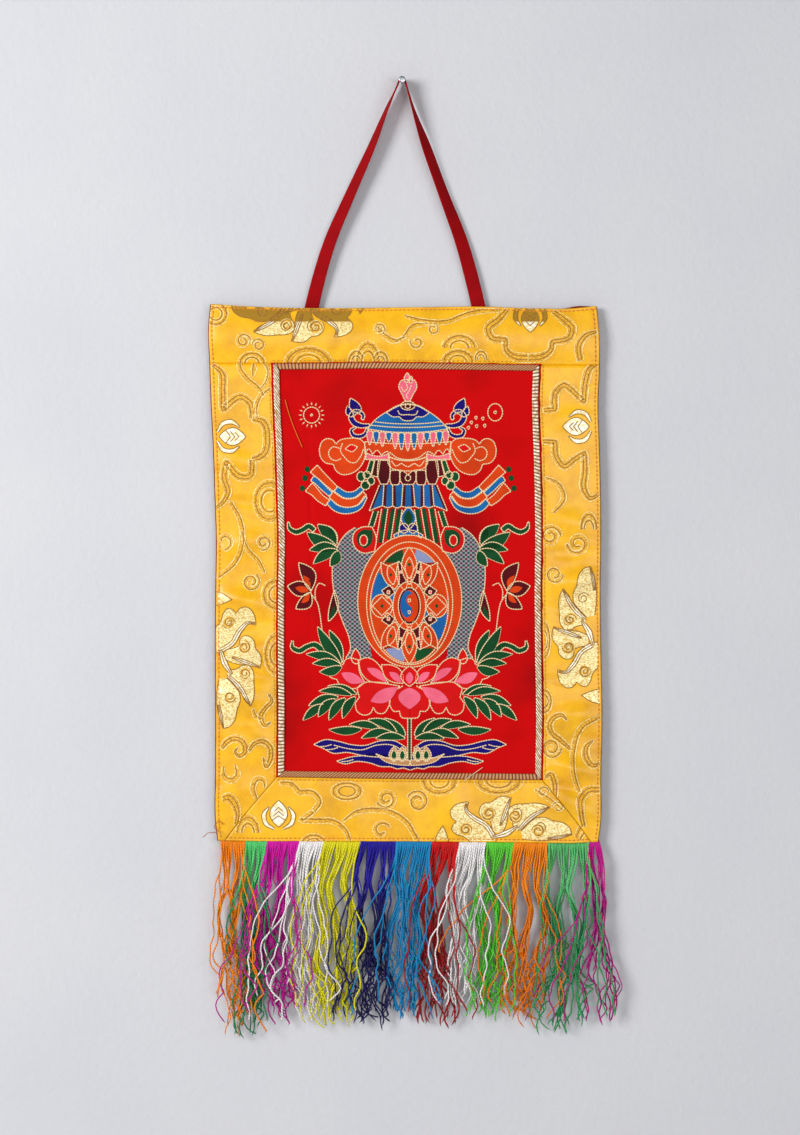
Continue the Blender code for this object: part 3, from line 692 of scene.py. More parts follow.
class HANGING_OT_cloths(bpy.types.Operator):
    """Makes the lining, the four satin borders and the woven panel"""

    bl_idname = "hanging.cloths"
    bl_label = "Lining, borders and panel"

    def execute(self, context):
        step = sizes().cloth_step / MM
        pucker = sizes().pucker / MM
        lining, satin, panel = lining_cotton(), border_satin(), panel_weave()
        self.lining(step, lining)
        self.top(step, pucker, satin)
        self.side(-1, step, pucker, satin)
        self.side(1, step, pucker, satin)
        self.bottom(step, pucker, satin)
        self.panel(step, panel)
        return {"FINISHED"}

    def lining(self, step, material):
        """The lining: level with the front, its edges a little wider, with a peek at the top."""
        left = BODY_LEFT_X - LINING_SHOWS
        right = BODY_RIGHT_X + LINING_SHOWS * 0.6
        hem = BODY_HEIGHT + LINING_SHOWS * 0.5
        coarse = step * 2.4
        x = spaced(left, right, coarse)[None, :]
        drop = spaced(hem, 0.0, coarse)[:, None]
        x, drop = np.broadcast_arrays(x, drop)
        sides = np.minimum(x - left, right - x)
        points = hang(x, drop, LINING_FRONT - folded_edge(sides, 0.7))
        peek = np.exp(-((((x - left) / (right - left) - TOP_PEEK_ACROSS) / TOP_PEEK_REACH) ** 2))
        points[..., 2] += np.where(drop < 0.05, peek * TOP_PEEK - 0.3, 0.0)
        patch = patch_of(points, np.stack([x, -drop], axis=-1))
        piece = mesh_piece("lining_cloth", [patch], material, ("lining",), weld=False)
        thicken(piece, LINING_THICKNESS)

    def top(self, step, pucker, material):
        """The heading, one band across the whole width."""
        cloth_sheet(
            "border_top",
            spaced(BODY_LEFT_X, BODY_RIGHT_X, step)[None, :],
            spaced(TOP_BORDER + 0.6, 0.0, step)[:, None],
            lambda x, drop: top_border_height(x, drop, pucker) - 0.3 * (drop > TOP_BORDER),
            material,
        )

    def side(self, side, step, pucker, material):
        """A side border, from the upper seam down to the mitre."""
        width = LEFT_BORDER if side < 0 else RIGHT_BORDER
        inward = spaced(0.0, width, step)[None, :]
        x = BODY_LEFT_X + inward if side < 0 else BODY_RIGHT_X - inward
        share = np.linspace(1, 0, round((BODY_HEIGHT - TOP_BORDER) / step))[:, None]
        drop = TOP_BORDER + share * (mitre_drop(inward, width) - TOP_BORDER)
        name = "border_left" if side < 0 else "border_right"
        height = lambda x, drop: side_border_height(x, drop, pucker, side)
        cloth_sheet(name, x, drop, height, material)

    def bottom(self, step, pucker, material):
        """The bottom border, short at the seam and long at the hem."""
        rise = spaced(0.0, BOTTOM_BORDER, step)[:, None]
        share = rise / BOTTOM_BORDER
        left = BODY_LEFT_X + MITRE_FOOT + share * (LEFT_BORDER - MITRE_FOOT) + 0.2
        right = BODY_RIGHT_X - MITRE_FOOT - share * (RIGHT_BORDER - MITRE_FOOT) - 0.2
        across = np.linspace(0, 1, round(BODY_WIDTH / step))[None, :]
        x = left + across * (right - left)
        height = lambda x, drop: (
            bottom_border_height(x, drop, pucker) + 0.25 - folded_edge(inside_mitres(x, drop) + 0.01, 0.8)
        )
        cloth_sheet("border_bottom", x, BODY_HEIGHT - rise, height, material)

    def panel(self, step, material):
        """The woven panel, a little under the turned edges of the borders."""
        left, right = BODY_LEFT_X + LEFT_BORDER - 0.4, BODY_RIGHT_X - RIGHT_BORDER + 0.4
        top, bottom = TOP_BORDER - 0.4, BODY_HEIGHT - BOTTOM_BORDER + 0.4
        fine = step * 0.85
        columns = round((right - left) / fine)
        rows = round((bottom - top) / fine)
        cloth_sheet(
            "panel",
            np.linspace(left, right, columns)[None, :],
            np.linspace(bottom, top, rows)[:, None],
            lambda x, drop: panel_height(x, drop) - 0.35 * (edge_of_panel(x, drop) < 0.1),
            material,
        )


def inside_mitres(x, drop):
    """How far inside the bottom border's two mitres a point lies, measured level."""
    up = (BODY_HEIGHT - drop) / BOTTOM_BORDER
    return np.minimum(
        x - BODY_LEFT_X - MITRE_FOOT - up * (LEFT_BORDER - MITRE_FOOT),
        BODY_RIGHT_X - MITRE_FOOT - up * (RIGHT_BORDER - MITRE_FOOT) - x,
    )


def edge_of_panel(x, drop):
    """How far inside the panel's four seams a point lies."""
    across = np.minimum(x - BODY_LEFT_X - LEFT_BORDER, BODY_RIGHT_X - RIGHT_BORDER - x)
    down = np.minimum(drop - TOP_BORDER, BODY_HEIGHT - BOTTOM_BORDER - drop)
    return np.minimum(across, down)


def border_satin():
    """Yellow silk-look satin, woven. It gives bright soft highlights along every fold."""
    light, shade = colours().satin, colours().satin_shade
    made, _, shader = satin_weave("yellow satin brocade", light, shade, 0.32, 0.0, 1.25, 62, 0.05)
    shader.inputs["Anisotropic"].default_value = 0.35
    return made


def lining_cotton():
    """Dark-red cotton lining, plain woven and matt. It shows as a thin line and from behind."""
    made, tree, shader = new_material("dark-red cotton lining", 0.85, 0.0, 0.3)
    place = object_place(tree)
    bands = {"Vector": place, "Scale": band_scale(1.3)}
    warp = node(tree, "ShaderNodeTexWave", bands).outputs["Fac"]
    weft = node(tree, "ShaderNodeTexWave", bands, bands_direction="Z").outputs["Fac"]
    weave = node(tree, "ShaderNodeMath", {0: warp, 1: weft}, operation="ADD").outputs[0]
    cloud = node(tree, "ShaderNodeTexNoise", {"Vector": place, "Scale": 60.0, "Detail": 4.0}).outputs["Fac"]
    tree.links.new(mixed(tree, cloud, colours().lining, linear("5E0409")), shader.inputs["Base Color"])
    bumped(tree, shader, weave, 0.5, 0.12)
    return made


def panel_weave():
    """Red brocade ground, woven in a close twill: a deep matt red with only a breath of gloss."""
    made, tree, shader = new_material("red woven brocade", 0.75, 0.0, 0.08)
    place = object_place(tree)
    slanting = {"Vector": turned(tree, place, 68), "Scale": band_scale(1.3), "Distortion": 0.5}
    twill = node(tree, "ShaderNodeTexWave", slanting).outputs["Fac"]
    cloud = node(tree, "ShaderNodeTexNoise", {"Vector": place, "Scale": 17.0, "Detail": 3.0}).outputs["Fac"]
    share = node(tree, "ShaderNodeMapRange", {"Value": cloud, 1: 0.47, 2: 0.8}).outputs[0]
    base = mixed(tree, share, colours().panel, linear("7E0002"))
    bright = node(tree, "ShaderNodeHueSaturation", {"Value": 1.1, "Color": base}).outputs[0]
    tree.links.new(mixed(tree, twill, base, bright), shader.inputs["Base Color"])
    bumped(tree, shader, twill, 0.3, 0.05)
    return made


# What is woven into the cloth


def path(points, step=0.5):
    """A smooth line through given points; a point given twice makes a corner there."""
    points = np.array(points, float)
    corners = [i for i in range(1, len(points)) if np.allclose(points[i], points[i - 1])]
    line = []
    for run in np.split(points, corners):
        if len(run) < 2:
            continue
        at = run_along(run)
        where = np.linspace(0, at[-1], max(2, math.ceil(at[-1] / step) + 1))
        smoothed = np.stack([smooth(where, at, run[:, 0]), smooth(where, at, run[:, 1])], axis=-1)
        line.append(smoothed[1:] if line else smoothed)
    return np.concatenate(line)


def run_along(line):
    """Distance along a line at each of its points."""
    return np.concatenate([[0], np.cumsum(np.linalg.norm(np.diff(line, axis=0), axis=1))])


def resampled(line, count):
    """The same line through evenly spaced points."""
    run = run_along(line)
    where = np.linspace(0, run[-1], count)
    return np.stack([np.interp(where, run, line[:, 0]), np.interp(where, run, line[:, 1])], axis=-1)


def sideways(line):
    """Unit directions to the left of a line's run."""
    along = np.gradient(line, axis=0)
    along /= np.maximum(np.linalg.norm(along, axis=1), 1e-9)[:, None]
    return np.stack([-along[:, 1], along[:, 0]], axis=-1)


def beside(line, widths):
    """The two edges of a band along a line; its widths are spaced evenly along it."""
    half = np.interp(np.linspace(0, 1, len(line)), np.linspace(0, 1, len(widths)), widths)[:, None] / 2
    side = sideways(line)
    return line + side * half, line - side * half


def between(first, second):
    """A fill: each share along the first line is joined straight to that share of the second."""
    longest = max(run_along(first)[-1], run_along(second)[-1])
    rows = max(4, math.ceil(longest / 1.3))
    first, second = resampled(first, rows), resampled(second, rows)
    widest = np.linalg.norm(first - second, axis=1).max()
    share = np.linspace(0, 1, max(3, math.ceil(widest / 2.0) + 1))[None, :, None]
    return first[:, None] * (1 - share) + second[:, None] * share


def blade_edges(foot, tip, width, bend, full):
    """Both edges of a leaf or petal: a spine bowed by bend, and a half width that is a sine."""
    foot, tip = np.array(foot, float), np.array(tip, float)
    length = np.linalg.norm(tip - foot)
    along = (tip - foot) / length
    left = np.array([-along[1], along[0]])
    share = np.linspace(0, 1, max(6, math.ceil(length / 0.7)))[:, None]
    spine = foot + share * (tip - foot) + left * bend * np.sin(math.pi * share)
    half = width / 2 * np.sin(math.pi * share**full) ** 0.85
    return spine + left * half, spine - left * half


def oval_line(centre, across, up, start=0.0, end=360.0):
    """An oval or a part of one, from one turn in degrees to another."""
    count = max(9, math.ceil(abs(end - start) * max(across, up) / 30))
    turn = np.radians(np.linspace(start, end, count))
    return np.stack([centre[0] + across * np.cos(turn), centre[1] + up * np.sin(turn)], axis=-1)


def spiral_line(centre, outer, inner, start, turns):
    """A scroll's line: its radius shrinks evenly as it turns."""
    share = np.linspace(0, 1, max(12, math.ceil(abs(turns) * 22)))
    turn = np.radians(start) + 2 * math.pi * turns * share
    radius = outer + (inner - outer) * share
    return np.stack([centre[0] + radius * np.cos(turn), centre[1] + radius * np.sin(turn)], axis=-1)


class Weaving:
    """Collects what is woven into one cloth, as seen from the front: fills by thread, and lines."""

    def __init__(self, mirrored):
        self.fills, self.lines = {}, {}
        self.turns = (lambda points: points, mirrored) if mirrored else (lambda points: points,)

    def fill(self, thread, grid, edges=(), level=0, both=True):
        for turn in self.turns[: 1 + both]:
            self.fills.setdefault(thread, []).append((turn(grid), level))
        for edge in edges:
            self.edge(edge, level, both)

    def edge(self, line, level=0, both=True, kind="outline"):
        for turn in self.turns[: 1 + both]:
            self.lines.setdefault(kind, []).append((turn(line), level))

    def line(self, points, level=0, both=True):
        self.edge(path(points), level, both)

    def between(self, thread, first, second, level=0, both=True, edged=True):
        first, second = path(first), path(second)
        ends = [np.stack([first[i], second[i]]) for i in (0, -1)]
        ends = [resampled(end, 6) for end in ends if np.linalg.norm(end[0] - end[1]) > 0.6]
        self.fill(thread, between(first, second), [first, second, *ends] if edged else (), level, both)

    def blade(self, thread, foot, tip, width, bend=0.0, full=1.0, level=0, both=True, edged=True):
        first, second = blade_edges(foot, tip, width, bend, full)
        self.fill(thread, between(first, second), (first, second) if edged else (), level, both)

    def band(self, thread, points, widths, level=0, both=True, edged=True):
        """A strip along a line, its width read from evenly spaced values."""
        first, second = beside(path(points), np.atleast_1d(widths))
        ends = [resampled(np.stack([first[i], second[i]]), 5) for i in (0, -1)]
        self.fill(thread, between(first, second), (first, second, *ends) if edged else (), level, both)

    def oval(
        self, thread, centre, across, up, level=0, both=True, start=0.0, end=360.0, hole=0.0, edged=True
    ):
        """A disc, ring or sector: hole is the share of the radius left open."""
        rim = oval_line(centre, across, up, start, end)
        middle = np.array(centre, float)
        rings = max(2, math.ceil(max(across, up) * (1 - hole) / 2.2) + 1)
        share = np.linspace(hole, 1, rings)[None, :, None]
        self.fill(thread, middle + (rim[:, None] - middle) * share, [rim] if edged else (), level, both)

    def make(self, name, place, thread_material, line_materials, widths, pitch):
        """One piece for each thread and one for each kind of line, all placed on the cloth at once."""
        for thread, fills in self.fills.items():
            grids = [grid for grid, _ in fills]
            lifts = [np.full(grid.shape[:2], FILL_LIFT + LEVEL_LIFT * level) for grid, level in fills]
            uvs = [grid - grid.reshape(-1, 2).min(axis=0) for grid in grids]
            woven_piece(f"{name}_{thread}", grids, lifts, uvs, place, thread_material(thread))
        for kind, lines in self.lines.items():
            grids, lifts, uvs = zip(*couched(lines, widths[kind], pitch))
            woven_piece(f"{name}_{kind}", grids, lifts, uvs, place, line_materials[kind])


def couched(lines, width, pitch):
    """Threads laid along lines: a ridge three points wide that is pinched in between its knots."""
    made = []
    for line, level in lines:
        length = run_along(line)[-1]
        if length < 0.8:
            continue
        line = resampled(line, max(4, math.ceil(length / (pitch / 4)) + 1))
        run = run_along(line)
        knot = 0.72 + 0.28 * np.abs(np.sin(math.pi * run / pitch))
        offsets = np.array([-0.5, 0.0, 0.5]) * width
        grid = line[:, None] + sideways(line)[:, None] * (offsets[None, :] * knot[:, None])[..., None]
        lift = LINE_LIFT + LEVEL_LIFT * level + knot[:, None] * np.array([0.0, LINE_CROWN, 0.0])[None, :]
        made.append((grid, lift, np.stack(np.broadcast_arrays(run[:, None], offsets[None, :]), axis=-1)))
    return made


def woven_piece(name, grids, lifts, uvs, place, material):
    """A piece of many small grids: all their points are set on the cloth in one go."""
    flat = np.concatenate([grid.reshape(-1, 2) for grid in grids])
    lift = np.concatenate([part.reshape(-1) for part in lifts])
    points, kept = place(flat[:, 0], flat[:, 1], lift)
    patches, start = [], 0
    for grid, uv in zip(grids, uvs):
        rows, columns = grid.shape[:2]
        part = slice(start, start + rows * columns)
        start += rows * columns
        faces = faces_towards(points[part], grid_faces(rows, columns), (0, -1, 0))
        faces = faces[kept[part][faces].all(axis=1)]
        if len(faces):
            patches.append((points[part], faces, uv.reshape(-1, 2)))
    return mesh_piece(name, patches, material)


def emblem_mirrored(points):
    """The other half of the emblem, about its axis, which leans a little to the right below."""
    lean = MIRROR_X + MIRROR_LEAN * points[..., 1]
    return np.stack([2 * lean - points[..., 0], points[..., 1]], axis=-1)


def on_panel(x, y, lift):
    """Places on the panel of emblem points, counted from its axis and from the wheel's middle."""
    cut_x, drop = flat_from_seen(x + EMBLEM_X, y + WHEEL_Z)
    return hang(cut_x, drop, panel_height(cut_x, drop) + lift), np.ones(len(x), bool)


def silk_thread(name):
    """Dyed silk weft lying in short floats: clear colour, a soft sheen and fine slanting lines.

    The floats are about 0.6 mm apart in the real cloth, and are drawn at twice that to show.
    """
    light, shade = (linear(colour) for colour in THREADS[name])
    made, _, shader = satin_weave("silk weft " + name, light, shade, 0.55, 0.0, 1.2, 35, 0.06)
    shader.inputs["Specular IOR Level"].default_value = 0.1
    return made


def scale_weave():
    """Fish scales in three wefts: lilac-grey ground with dark green crosses and maroon between."""
    made, tree, shader = new_material("silk weft fish scales", 0.55, 0.0, 0.18)
    split = node(tree, "ShaderNodeSeparateXYZ", {0: object_place(tree)}).outputs
    waves = {0: sine_along(tree, split[0], 2.9), 1: sine_along(tree, split[2], 2.5)}
    crossing = node(tree, "ShaderNodeMath", waves, operation="MULTIPLY").outputs[0]
    total = node(tree, "ShaderNodeMath", waves, operation="ADD").outputs[0]
    green = node(tree, "ShaderNodeMapRange", {"Value": crossing, 1: -0.15, 2: 0.15}).outputs[0]
    maroon = node(tree, "ShaderNodeMapRange", {"Value": total, 1: 1.0, 2: 1.4}).outputs[0]
    base = mixed(tree, green, linear("8C8A94"), linear("0C3A24"))
    tree.links.new(mixed(tree, maroon, base, linear("6A1024")), shader.inputs["Base Color"])
    bumped(tree, shader, total, 0.3, 0.08)
    return made


def outline_thread(name, light, dark, pitch):
    """Gilt thread couched round each shape: small cream-gold knots with dark gaps between them."""
    made, tree, shader = new_material(name, 0.42, 0.0, 0.4)
    split = node(tree, "ShaderNodeSeparateXYZ", {0: thread_place(tree)}).outputs
    wave = sine_along(tree, split[0], 2 * pitch)
    knot = node(tree, "ShaderNodeMath", {0: wave}, operation="ABSOLUTE").outputs[0]
    gap = node(tree, "ShaderNodeMapRange", {"Value": knot, 1: 0.5, 2: 0.1}).outputs[0]
    tree.links.new(mixed(tree, gap, light, dark), shader.inputs["Base Color"])
    return made


# Leaves, petals and hearts of the emblem's left half, from foot to tip
Blade = namedtuple("Blade", "thread x y tip_x tip_y width bend full")
LEAVES = [
    Blade("green", -42.5, 34.5, -60.0, 43.0, 7.5, 1.5, 0.9),
    Blade("green", -42.0, 36.0, -53.6, 47.8, 7.5, -0.8, 0.9),
    Blade("green", -42.0, 37.5, -46.6, 46.6, 4.5, 0.3, 0.9),
    Blade("green", -41.5, 33.5, -58.6, 32.4, 6.0, -1.2, 0.9),
    Blade("green", -41.5, 32.5, -56.2, 24.2, 6.0, -1.4, 0.9),
    Blade("green", -41.0, 32.0, -46.0, 22.6, 6.0, 0.8, 0.9),
    Blade("green", -39.0, -35.5, -53.6, -13.6, 6.5, 1.0, 0.9),
    Blade("green", -38.6, -35.0, -46.6, -15.6, 5.5, -0.8, 1.0),
    Blade("green", -40.0, -35.5, -60.5, -30.0, 5.5, -1.6, 0.9),
    Blade("green", -39.5, -36.5, -56.6, -35.6, 5.0, -1.0, 0.9),
    Blade("green", -39.0, -37.5, -52.4, -40.6, 5.5, 1.2, 0.9),
    Blade("green", -30.0, -54.2, -47.6, -49.2, 4.0, -1.4, 0.9),
    Blade("green", -33.0, -54.6, -52.8, -52.2, 4.4, -1.6, 0.9),
    Blade("green", -41.0, -55.6, -59.0, -60.9, 4.8, -1.4, 0.9),
    Blade("green", -50.0, -60.0, -62.4, -69.6, 5.0, -0.6, 0.9),
    Blade("green", -43.0, -56.8, -53.2, -67.6, 5.4, -1.2, 0.9),
    Blade("green", -37.0, -56.2, -46.8, -69.6, 5.4, -1.2, 0.9),
    Blade("green", -31.0, -55.4, -38.6, -68.6, 5.2, -1.2, 0.9),
    Blade("green", -1.0, -79.0, -13.6, -68.4, 5.4, -0.6, 0.8),
    Blade("green", -6.0, -76.8, -23.4, -69.2, 4.8, -1.6, 0.9),
    Blade("green", -16.0, -74.8, -34.6, -72.2, 4.4, -1.4, 0.9),
    Blade("green", -27.0, -75.0, -46.8, -75.3, 5.0, 0.8, 0.9),
    Blade("green", -9.0, -77.0, -27.4, -80.4, 5.0, -1.6, 0.9),
    Blade("green", -1.0, -80.5, -19.0, -80.6, 4.4, -1.4, 0.9),
]
SIDE_FLOWERS = [
    Blade("maroon", -57.6, 8.0, -64.8, 24.8, 8.5, -2.4, 0.95),
    Blade("maroon", -57.8, 7.0, -66.6, -2.9, 7.5, 1.8, 0.95),
    Blade("maroon", -57.4, 7.6, -71.6, 10.8, 9.0, 0.0, 0.95),
    Blade("orange", -58.4, 9.2, -62.4, 17.2, 3.4, -1.0, 0.95),
    Blade("orange", -58.6, 6.4, -63.4, 0.6, 3.2, 0.8, 0.95),
    Blade("orange", -59.0, 7.8, -67.0, 9.8, 4.0, 0.0, 0.95),
]
LOTUS_HEARTS = [
    Blade("pink", -25.6, -46.8, -39.4, -41.4, 6.2, 0.6, 1.1),
    Blade("pink", -12.2, -47.2, -24.0, -38.4, 4.8, -1.0, 1.2),
    Blade("pink", -3.2, -47.8, -10.6, -40.8, 4.2, -0.6, 1.2),
    Blade("pink", -5.4, -49.8, -21.8, -58.4, 8.0, 0.8, 1.1),
]
# Bands from end to end, with widths spaced evenly along them
FLYING_BANDS = [
    ("blue", [(-26.8, 69.4), (-31, 65.8), (-36.5, 65.2), (-42.8, 68.8)], [3.0, 4.0, 4.2, 4.0]),
    ("orange", [(-25.4, 66.4), (-31, 61.4), (-38, 61.0), (-45.4, 65.8)], [3.4, 5.2, 5.4, 4.8]),
    (
        "blue",
        [(-24.6, 64.4), (-28.6, 58.4), (-36, 56.0), (-42.6, 57.6), (-46.9, 61.6)],
        [1.8, 3.4, 4.0, 3.6],
    ),
    ("orange", [(-43.2, 68.6), (-48.6, 74.0), (-52.6, 78.0), (-55.9, 81.2)], [4.6, 4.8, 5.0, 6.0]),
    ("blue", [(-45.4, 66.0), (-50.4, 70.2), (-54, 73.6), (-56.8, 75.4)], [3.8, 3.8, 3.6, 3.4]),
    ("orange", [(-47.6, 60.6), (-52, 63.6), (-55.8, 67.6), (-58.9, 70.2)], [4.2, 4.6, 5.0, 6.6]),
]

# Coloured fields between the wheel's petals: thread, and the turns in degrees that they reach between
WHEEL_SECTORS = [
    ("grey_blue", 50, 80),
    ("green", 100, 130),
    ("blue", 144, 174),
    ("blue", -38, -8),
    ("green", -80, -50),
    ("grey_blue", 232, 262),
]


class HANGING_OT_emblem(bpy.types.Operator):
    """Weaves the eight-symbols emblem into the panel"""

    bl_idname = "hanging.emblem"
    bl_label = "Woven emblem"

    def execute(self, context):
        emblem = Weaving(emblem_mirrored)
        self.sun_and_moon(emblem)
        self.parasol(emblem)
        self.valance(emblem)
        self.skirt(emblem)
        self.fish(emblem)
        self.wheel(emblem)
        self.plants(emblem)
        self.lotus(emblem)
        self.water(emblem)
        pitch = sizes().bead_pitch / MM
        emblem.make(
            "emblem",
            on_panel,
            lambda thread: scale_weave() if thread == "scales" else silk_thread(thread),
            {"outline": outline_thread("gilt outline thread", linear("E4CC9C"), linear("963A20"), pitch)},
            {"outline": sizes().outline_width / MM},
            pitch,
        )
        return {"FINISHED"}

    def sun_and_moon(self, emblem):
        """A rayed circle at the left, a bare one at the right, and six small stars."""
        emblem.edge(oval_line((-57.2, 113.3), 4.8, 4.8), 0, False)
        emblem.edge(oval_line((-57.2, 113.3), 0.6, 0.6), 0, False)
        for turn in np.radians(np.arange(0, 360, 22.5)):
            ray = np.array([np.cos(turn), np.sin(turn)])
            emblem.edge(np.array([-57.2, 113.3]) + np.outer([5.9, 6.7, 7.7], ray), 0, False)
        emblem.edge(oval_line((52.9, 115.0), 4.4, 5.2), 0, False)
        emblem.edge(oval_line((52.9, 115.0), 0.8, 0.8), 0, False)
        for star in (
            (41.4, 111.8), (45.5, 111.3), (38.6, 108.9), (36.9, 105.8), (41.8, 106.7), (46.6, 107.0)
        ):
            emblem.edge(oval_line(star, 0.7, 0.9), 0, False)

    def parasol(self, emblem):
        """The dome with its cap, bands and side scrolls, under a flaming jewel."""
        jewel = [(-0.9, 121.4), (-2.8, 125.6), (-4.9, 130.4), (-3.4, 134.0), (0.0, 134.6), (0.0, 134.6)]
        emblem.between(
            "pink",
            jewel,
            [(1.6, 121.4), (3.6, 125.6), (5.9, 130.4), (4.6, 134.2), (0.0, 134.6), (0.0, 134.6)],
            1,
            False,
        )
        emblem.blade("pink", (-0.6, 132.8), (0.2, 138.8), 3.6, -0.4, 0.8, 1, False)
        emblem.blade("pink", (2.0, 132.4), (2.8, 136.6), 2.6, 0.3, 0.8, 1, False)
        emblem.line([(-3.6, 130.5), (-1.6, 127.6), (0.4, 129.8), (-0.6, 132.4)], 2, False)
        emblem.line([(2.6, 131.4), (1.2, 127.6), (-0.4, 124.8), (0.8, 123.0)], 2, False)
        dome = [(-23.6, 105.0), (-19.6, 109.9), (-12, 115.4), (-5, 119.2), (0.6, 120.2)]
        dome += [(6.2, 119.2), (13.0, 115.4), (20.2, 109.9), (24.4, 105.0)]
        emblem.between(
            "blue", dome, [(-23.6, 105.0), (-12, 103.4), (0.5, 102.9), (13, 103.4), (24.4, 105.0)], 0, False
        )
        cap = [(-12.4, 114.8), (-5, 118.8), (0.6, 119.8), (6.2, 118.8), (13.6, 114.8)]
        hem = [
            (-12.4, 114.8), (-8, 112.2), (-4.6, 112.2), (-2.6, 110.4), (0.6, 109.9), (3.8, 110.4),
            (5.8, 112.2),
        ]
        emblem.between("navy", cap, [*hem, (9.2, 112.2), (13.6, 114.8)], 1, False)
        emblem.oval("maroon", (0.5, 119.0), 4.2, 2.6, 2, False)
        emblem.edge(oval_line((0.5, 118.6), 1.6, 1.3), 2, False)
        emblem.line([(-5.6, 116.2), (-4.4, 114.0), (0.5, 113.6), (5.6, 114.0), (6.6, 116.2)], 2, False)
        for level, reach in ((109.3, 19.9), (107.2, 21.9)):
            line = [(0.5 - reach, level), (0.5 - reach / 2, level - 1.0), (0.5, level - 1.3)]
            emblem.line(line + [(0.5 + reach / 2, level - 1.0), (0.5 + reach, level)], 2, False)
        hook = [
            (-22.4, 107.2), (-27.5, 107.0), (-31.8, 108.8), (-33.4, 112.2), (-31.2, 115.2), (-27.8, 114.9)
        ]
        emblem.band("navy", [*hook, (-26.2, 112.6), (-26.8, 110.6)], [1.6, 2.6, 3.2, 3.2, 2.8, 2.0, 1.6], 0)
        emblem.blade("navy", (-27.6, 115.2), (-34.0, 123.4), 6.0, 1.0, 0.85, 1)
        emblem.blade("navy", (-32.6, 112.2), (-35.8, 118.8), 4.0, 0.6, 0.85, 1)
        emblem.band(
            "navy",
            [(-23.8, 105.4), (-25.4, 101.8), (-29, 100.4), (-32.4, 101.4), (-33.4, 104.2), (-30.6, 106.0)],
            [1.2, 2.2, 2.4, 2.0, 1.0],
            0,
        )

    def valance(self, emblem):
        """Thirteen drops in two colours over an orange drape, with knotted cloths at both sides."""
        top = [(-25.4, 97.4), (-12, 96.4), (0.5, 96.2), (13, 96.4), (26.4, 97.4)]
        spikes = [(-25.4, 97.4), (-25.2, 90.2), (-25.2, 90.2), (-23.0, 93.0), (-20.6, 89.8), (-20.6, 89.8)]
        spikes += [(-18.0, 92.2), (-15.4, 89.4), (-15.4, 89.4), (-11.6, 91.4), (-11.0, 88.4), (-11.0, 88.4)]
        spikes += [(-6, 86.8), (0.5, 86.0)]
        right = [(1.0 - x, y) for x, y in reversed(spikes)]
        emblem.between("orange", top, spikes + right[1:], 0, False)
        tier = [
            (-11.0, 88.2), (-11.4, 84.8), (-8.6, 81.2), (-6.2, 80.6), (-6.2, 80.6), (-3.2, 80.2),
            (0.5, 77.6),
        ]
        emblem.between(
            "orange",
            [(-11.0, 88.2), (-6, 86.6), (0.5, 85.9), (7, 86.6), (12, 88.2)],
            tier + [(1.0 - x, y) for x, y in reversed(tier)],
            1,
            False,
        )
        scallops = [
            (-9.4, 86.0), (-6.6, 82.8), (-3.4, 84.4), (-3.4, 84.4), (0.5, 82.4), (4.4, 84.4), (4.4, 84.4)
        ]
        emblem.line([*scallops, (7.6, 82.8), (10.4, 86.0)], 2, False)
        emblem.line([(-10.6, 91.2), (-6, 87.8), (0.5, 86.6), (7, 87.8), (11.6, 91.2)], 2, False)
        tips = (95.4, 95.6, 94.2, 97.0, 93.0, 92.2, 91.7, 92.2, 93.0, 96.6, 94.2, 95.4, 95.4)
        for number, tip in enumerate(tips):
            x = -22.3 + 3.8 * number
            start = 104.0 - 1.4 * math.cos(math.pi * (number - 6) / 13)
            drop = [(x, start), (x, (start + tip) / 2), (x, tip)]
            emblem.band("blue" if number % 2 else "pink", drop, [3.1, 3.6, 3.0, 2.0, 0.3], 2, False)
        emblem.band("pink", [(-24.6, 88.6), (-17.6, 87.7), (-10.6, 88.2)], [4.0, 2.2, 1.8, 2.2, 4.0], 1)
        over = [(-25.4, 96.5), (-28.2, 98.9), (-34.9, 99.4), (-40.4, 98.1), (-42.6, 96.0), (-42.6, 96.0)]
        over += [(-44.5, 98.4), (-47.8, 99.2), (-50.9, 97.4), (-52.6, 92.7)]
        under = [(-25.4, 96.5), (-24.8, 90.0), (-26.3, 85.0), (-30.1, 80.2), (-34.9, 77.9), (-39.7, 77.9)]
        under += [(-42.8, 80.4), (-44.2, 83.8), (-44.2, 83.8), (-48.8, 84.7), (-51.7, 87.9), (-52.6, 92.7)]
        emblem.between("orange", over, under, 0)
        emblem.line(
            [
                (-38.6, 96.6), (-39.9, 92.0), (-37.3, 87.9), (-34.6, 85.3), (-31.4, 84.7), (-28.0, 88.2),
                (-26.0, 93.0),
            ],
            1,
        )
        emblem.line(
            [(-40.4, 93.4), (-44.4, 94.2), (-46.9, 91.4), (-45.9, 87.5), (-42.4, 86.0), (-39.6, 87.2)], 1
        )
        emblem.between(
            "red",
            [(-37.2, 93.0), (-33.4, 95.6), (-29.6, 94.2)],
            [(-37.2, 93.0), (-32.6, 91.4), (-29.6, 94.2)],
            1,
        )
        for row in FLYING_BANDS:
            emblem.band(*row, 1)
        for x, y in ((-59.8, 80.8), (-61.2, 75.5), (-62.8, 69.4)):
            emblem.oval("green", (x, y), 1.6, 1.8, 1, edged=False)
        for x, y, across, up in (
            (-27.6, 76.4, 2.4, 2.9), (-21.6, 73.8, 2.1, 2.4), (-24.1, 77.4, 2.2, 2.2),
            (-24.9, 71.2, 2.6, 2.6),
        ):
            emblem.oval("green", (x, y), across, up, 2)

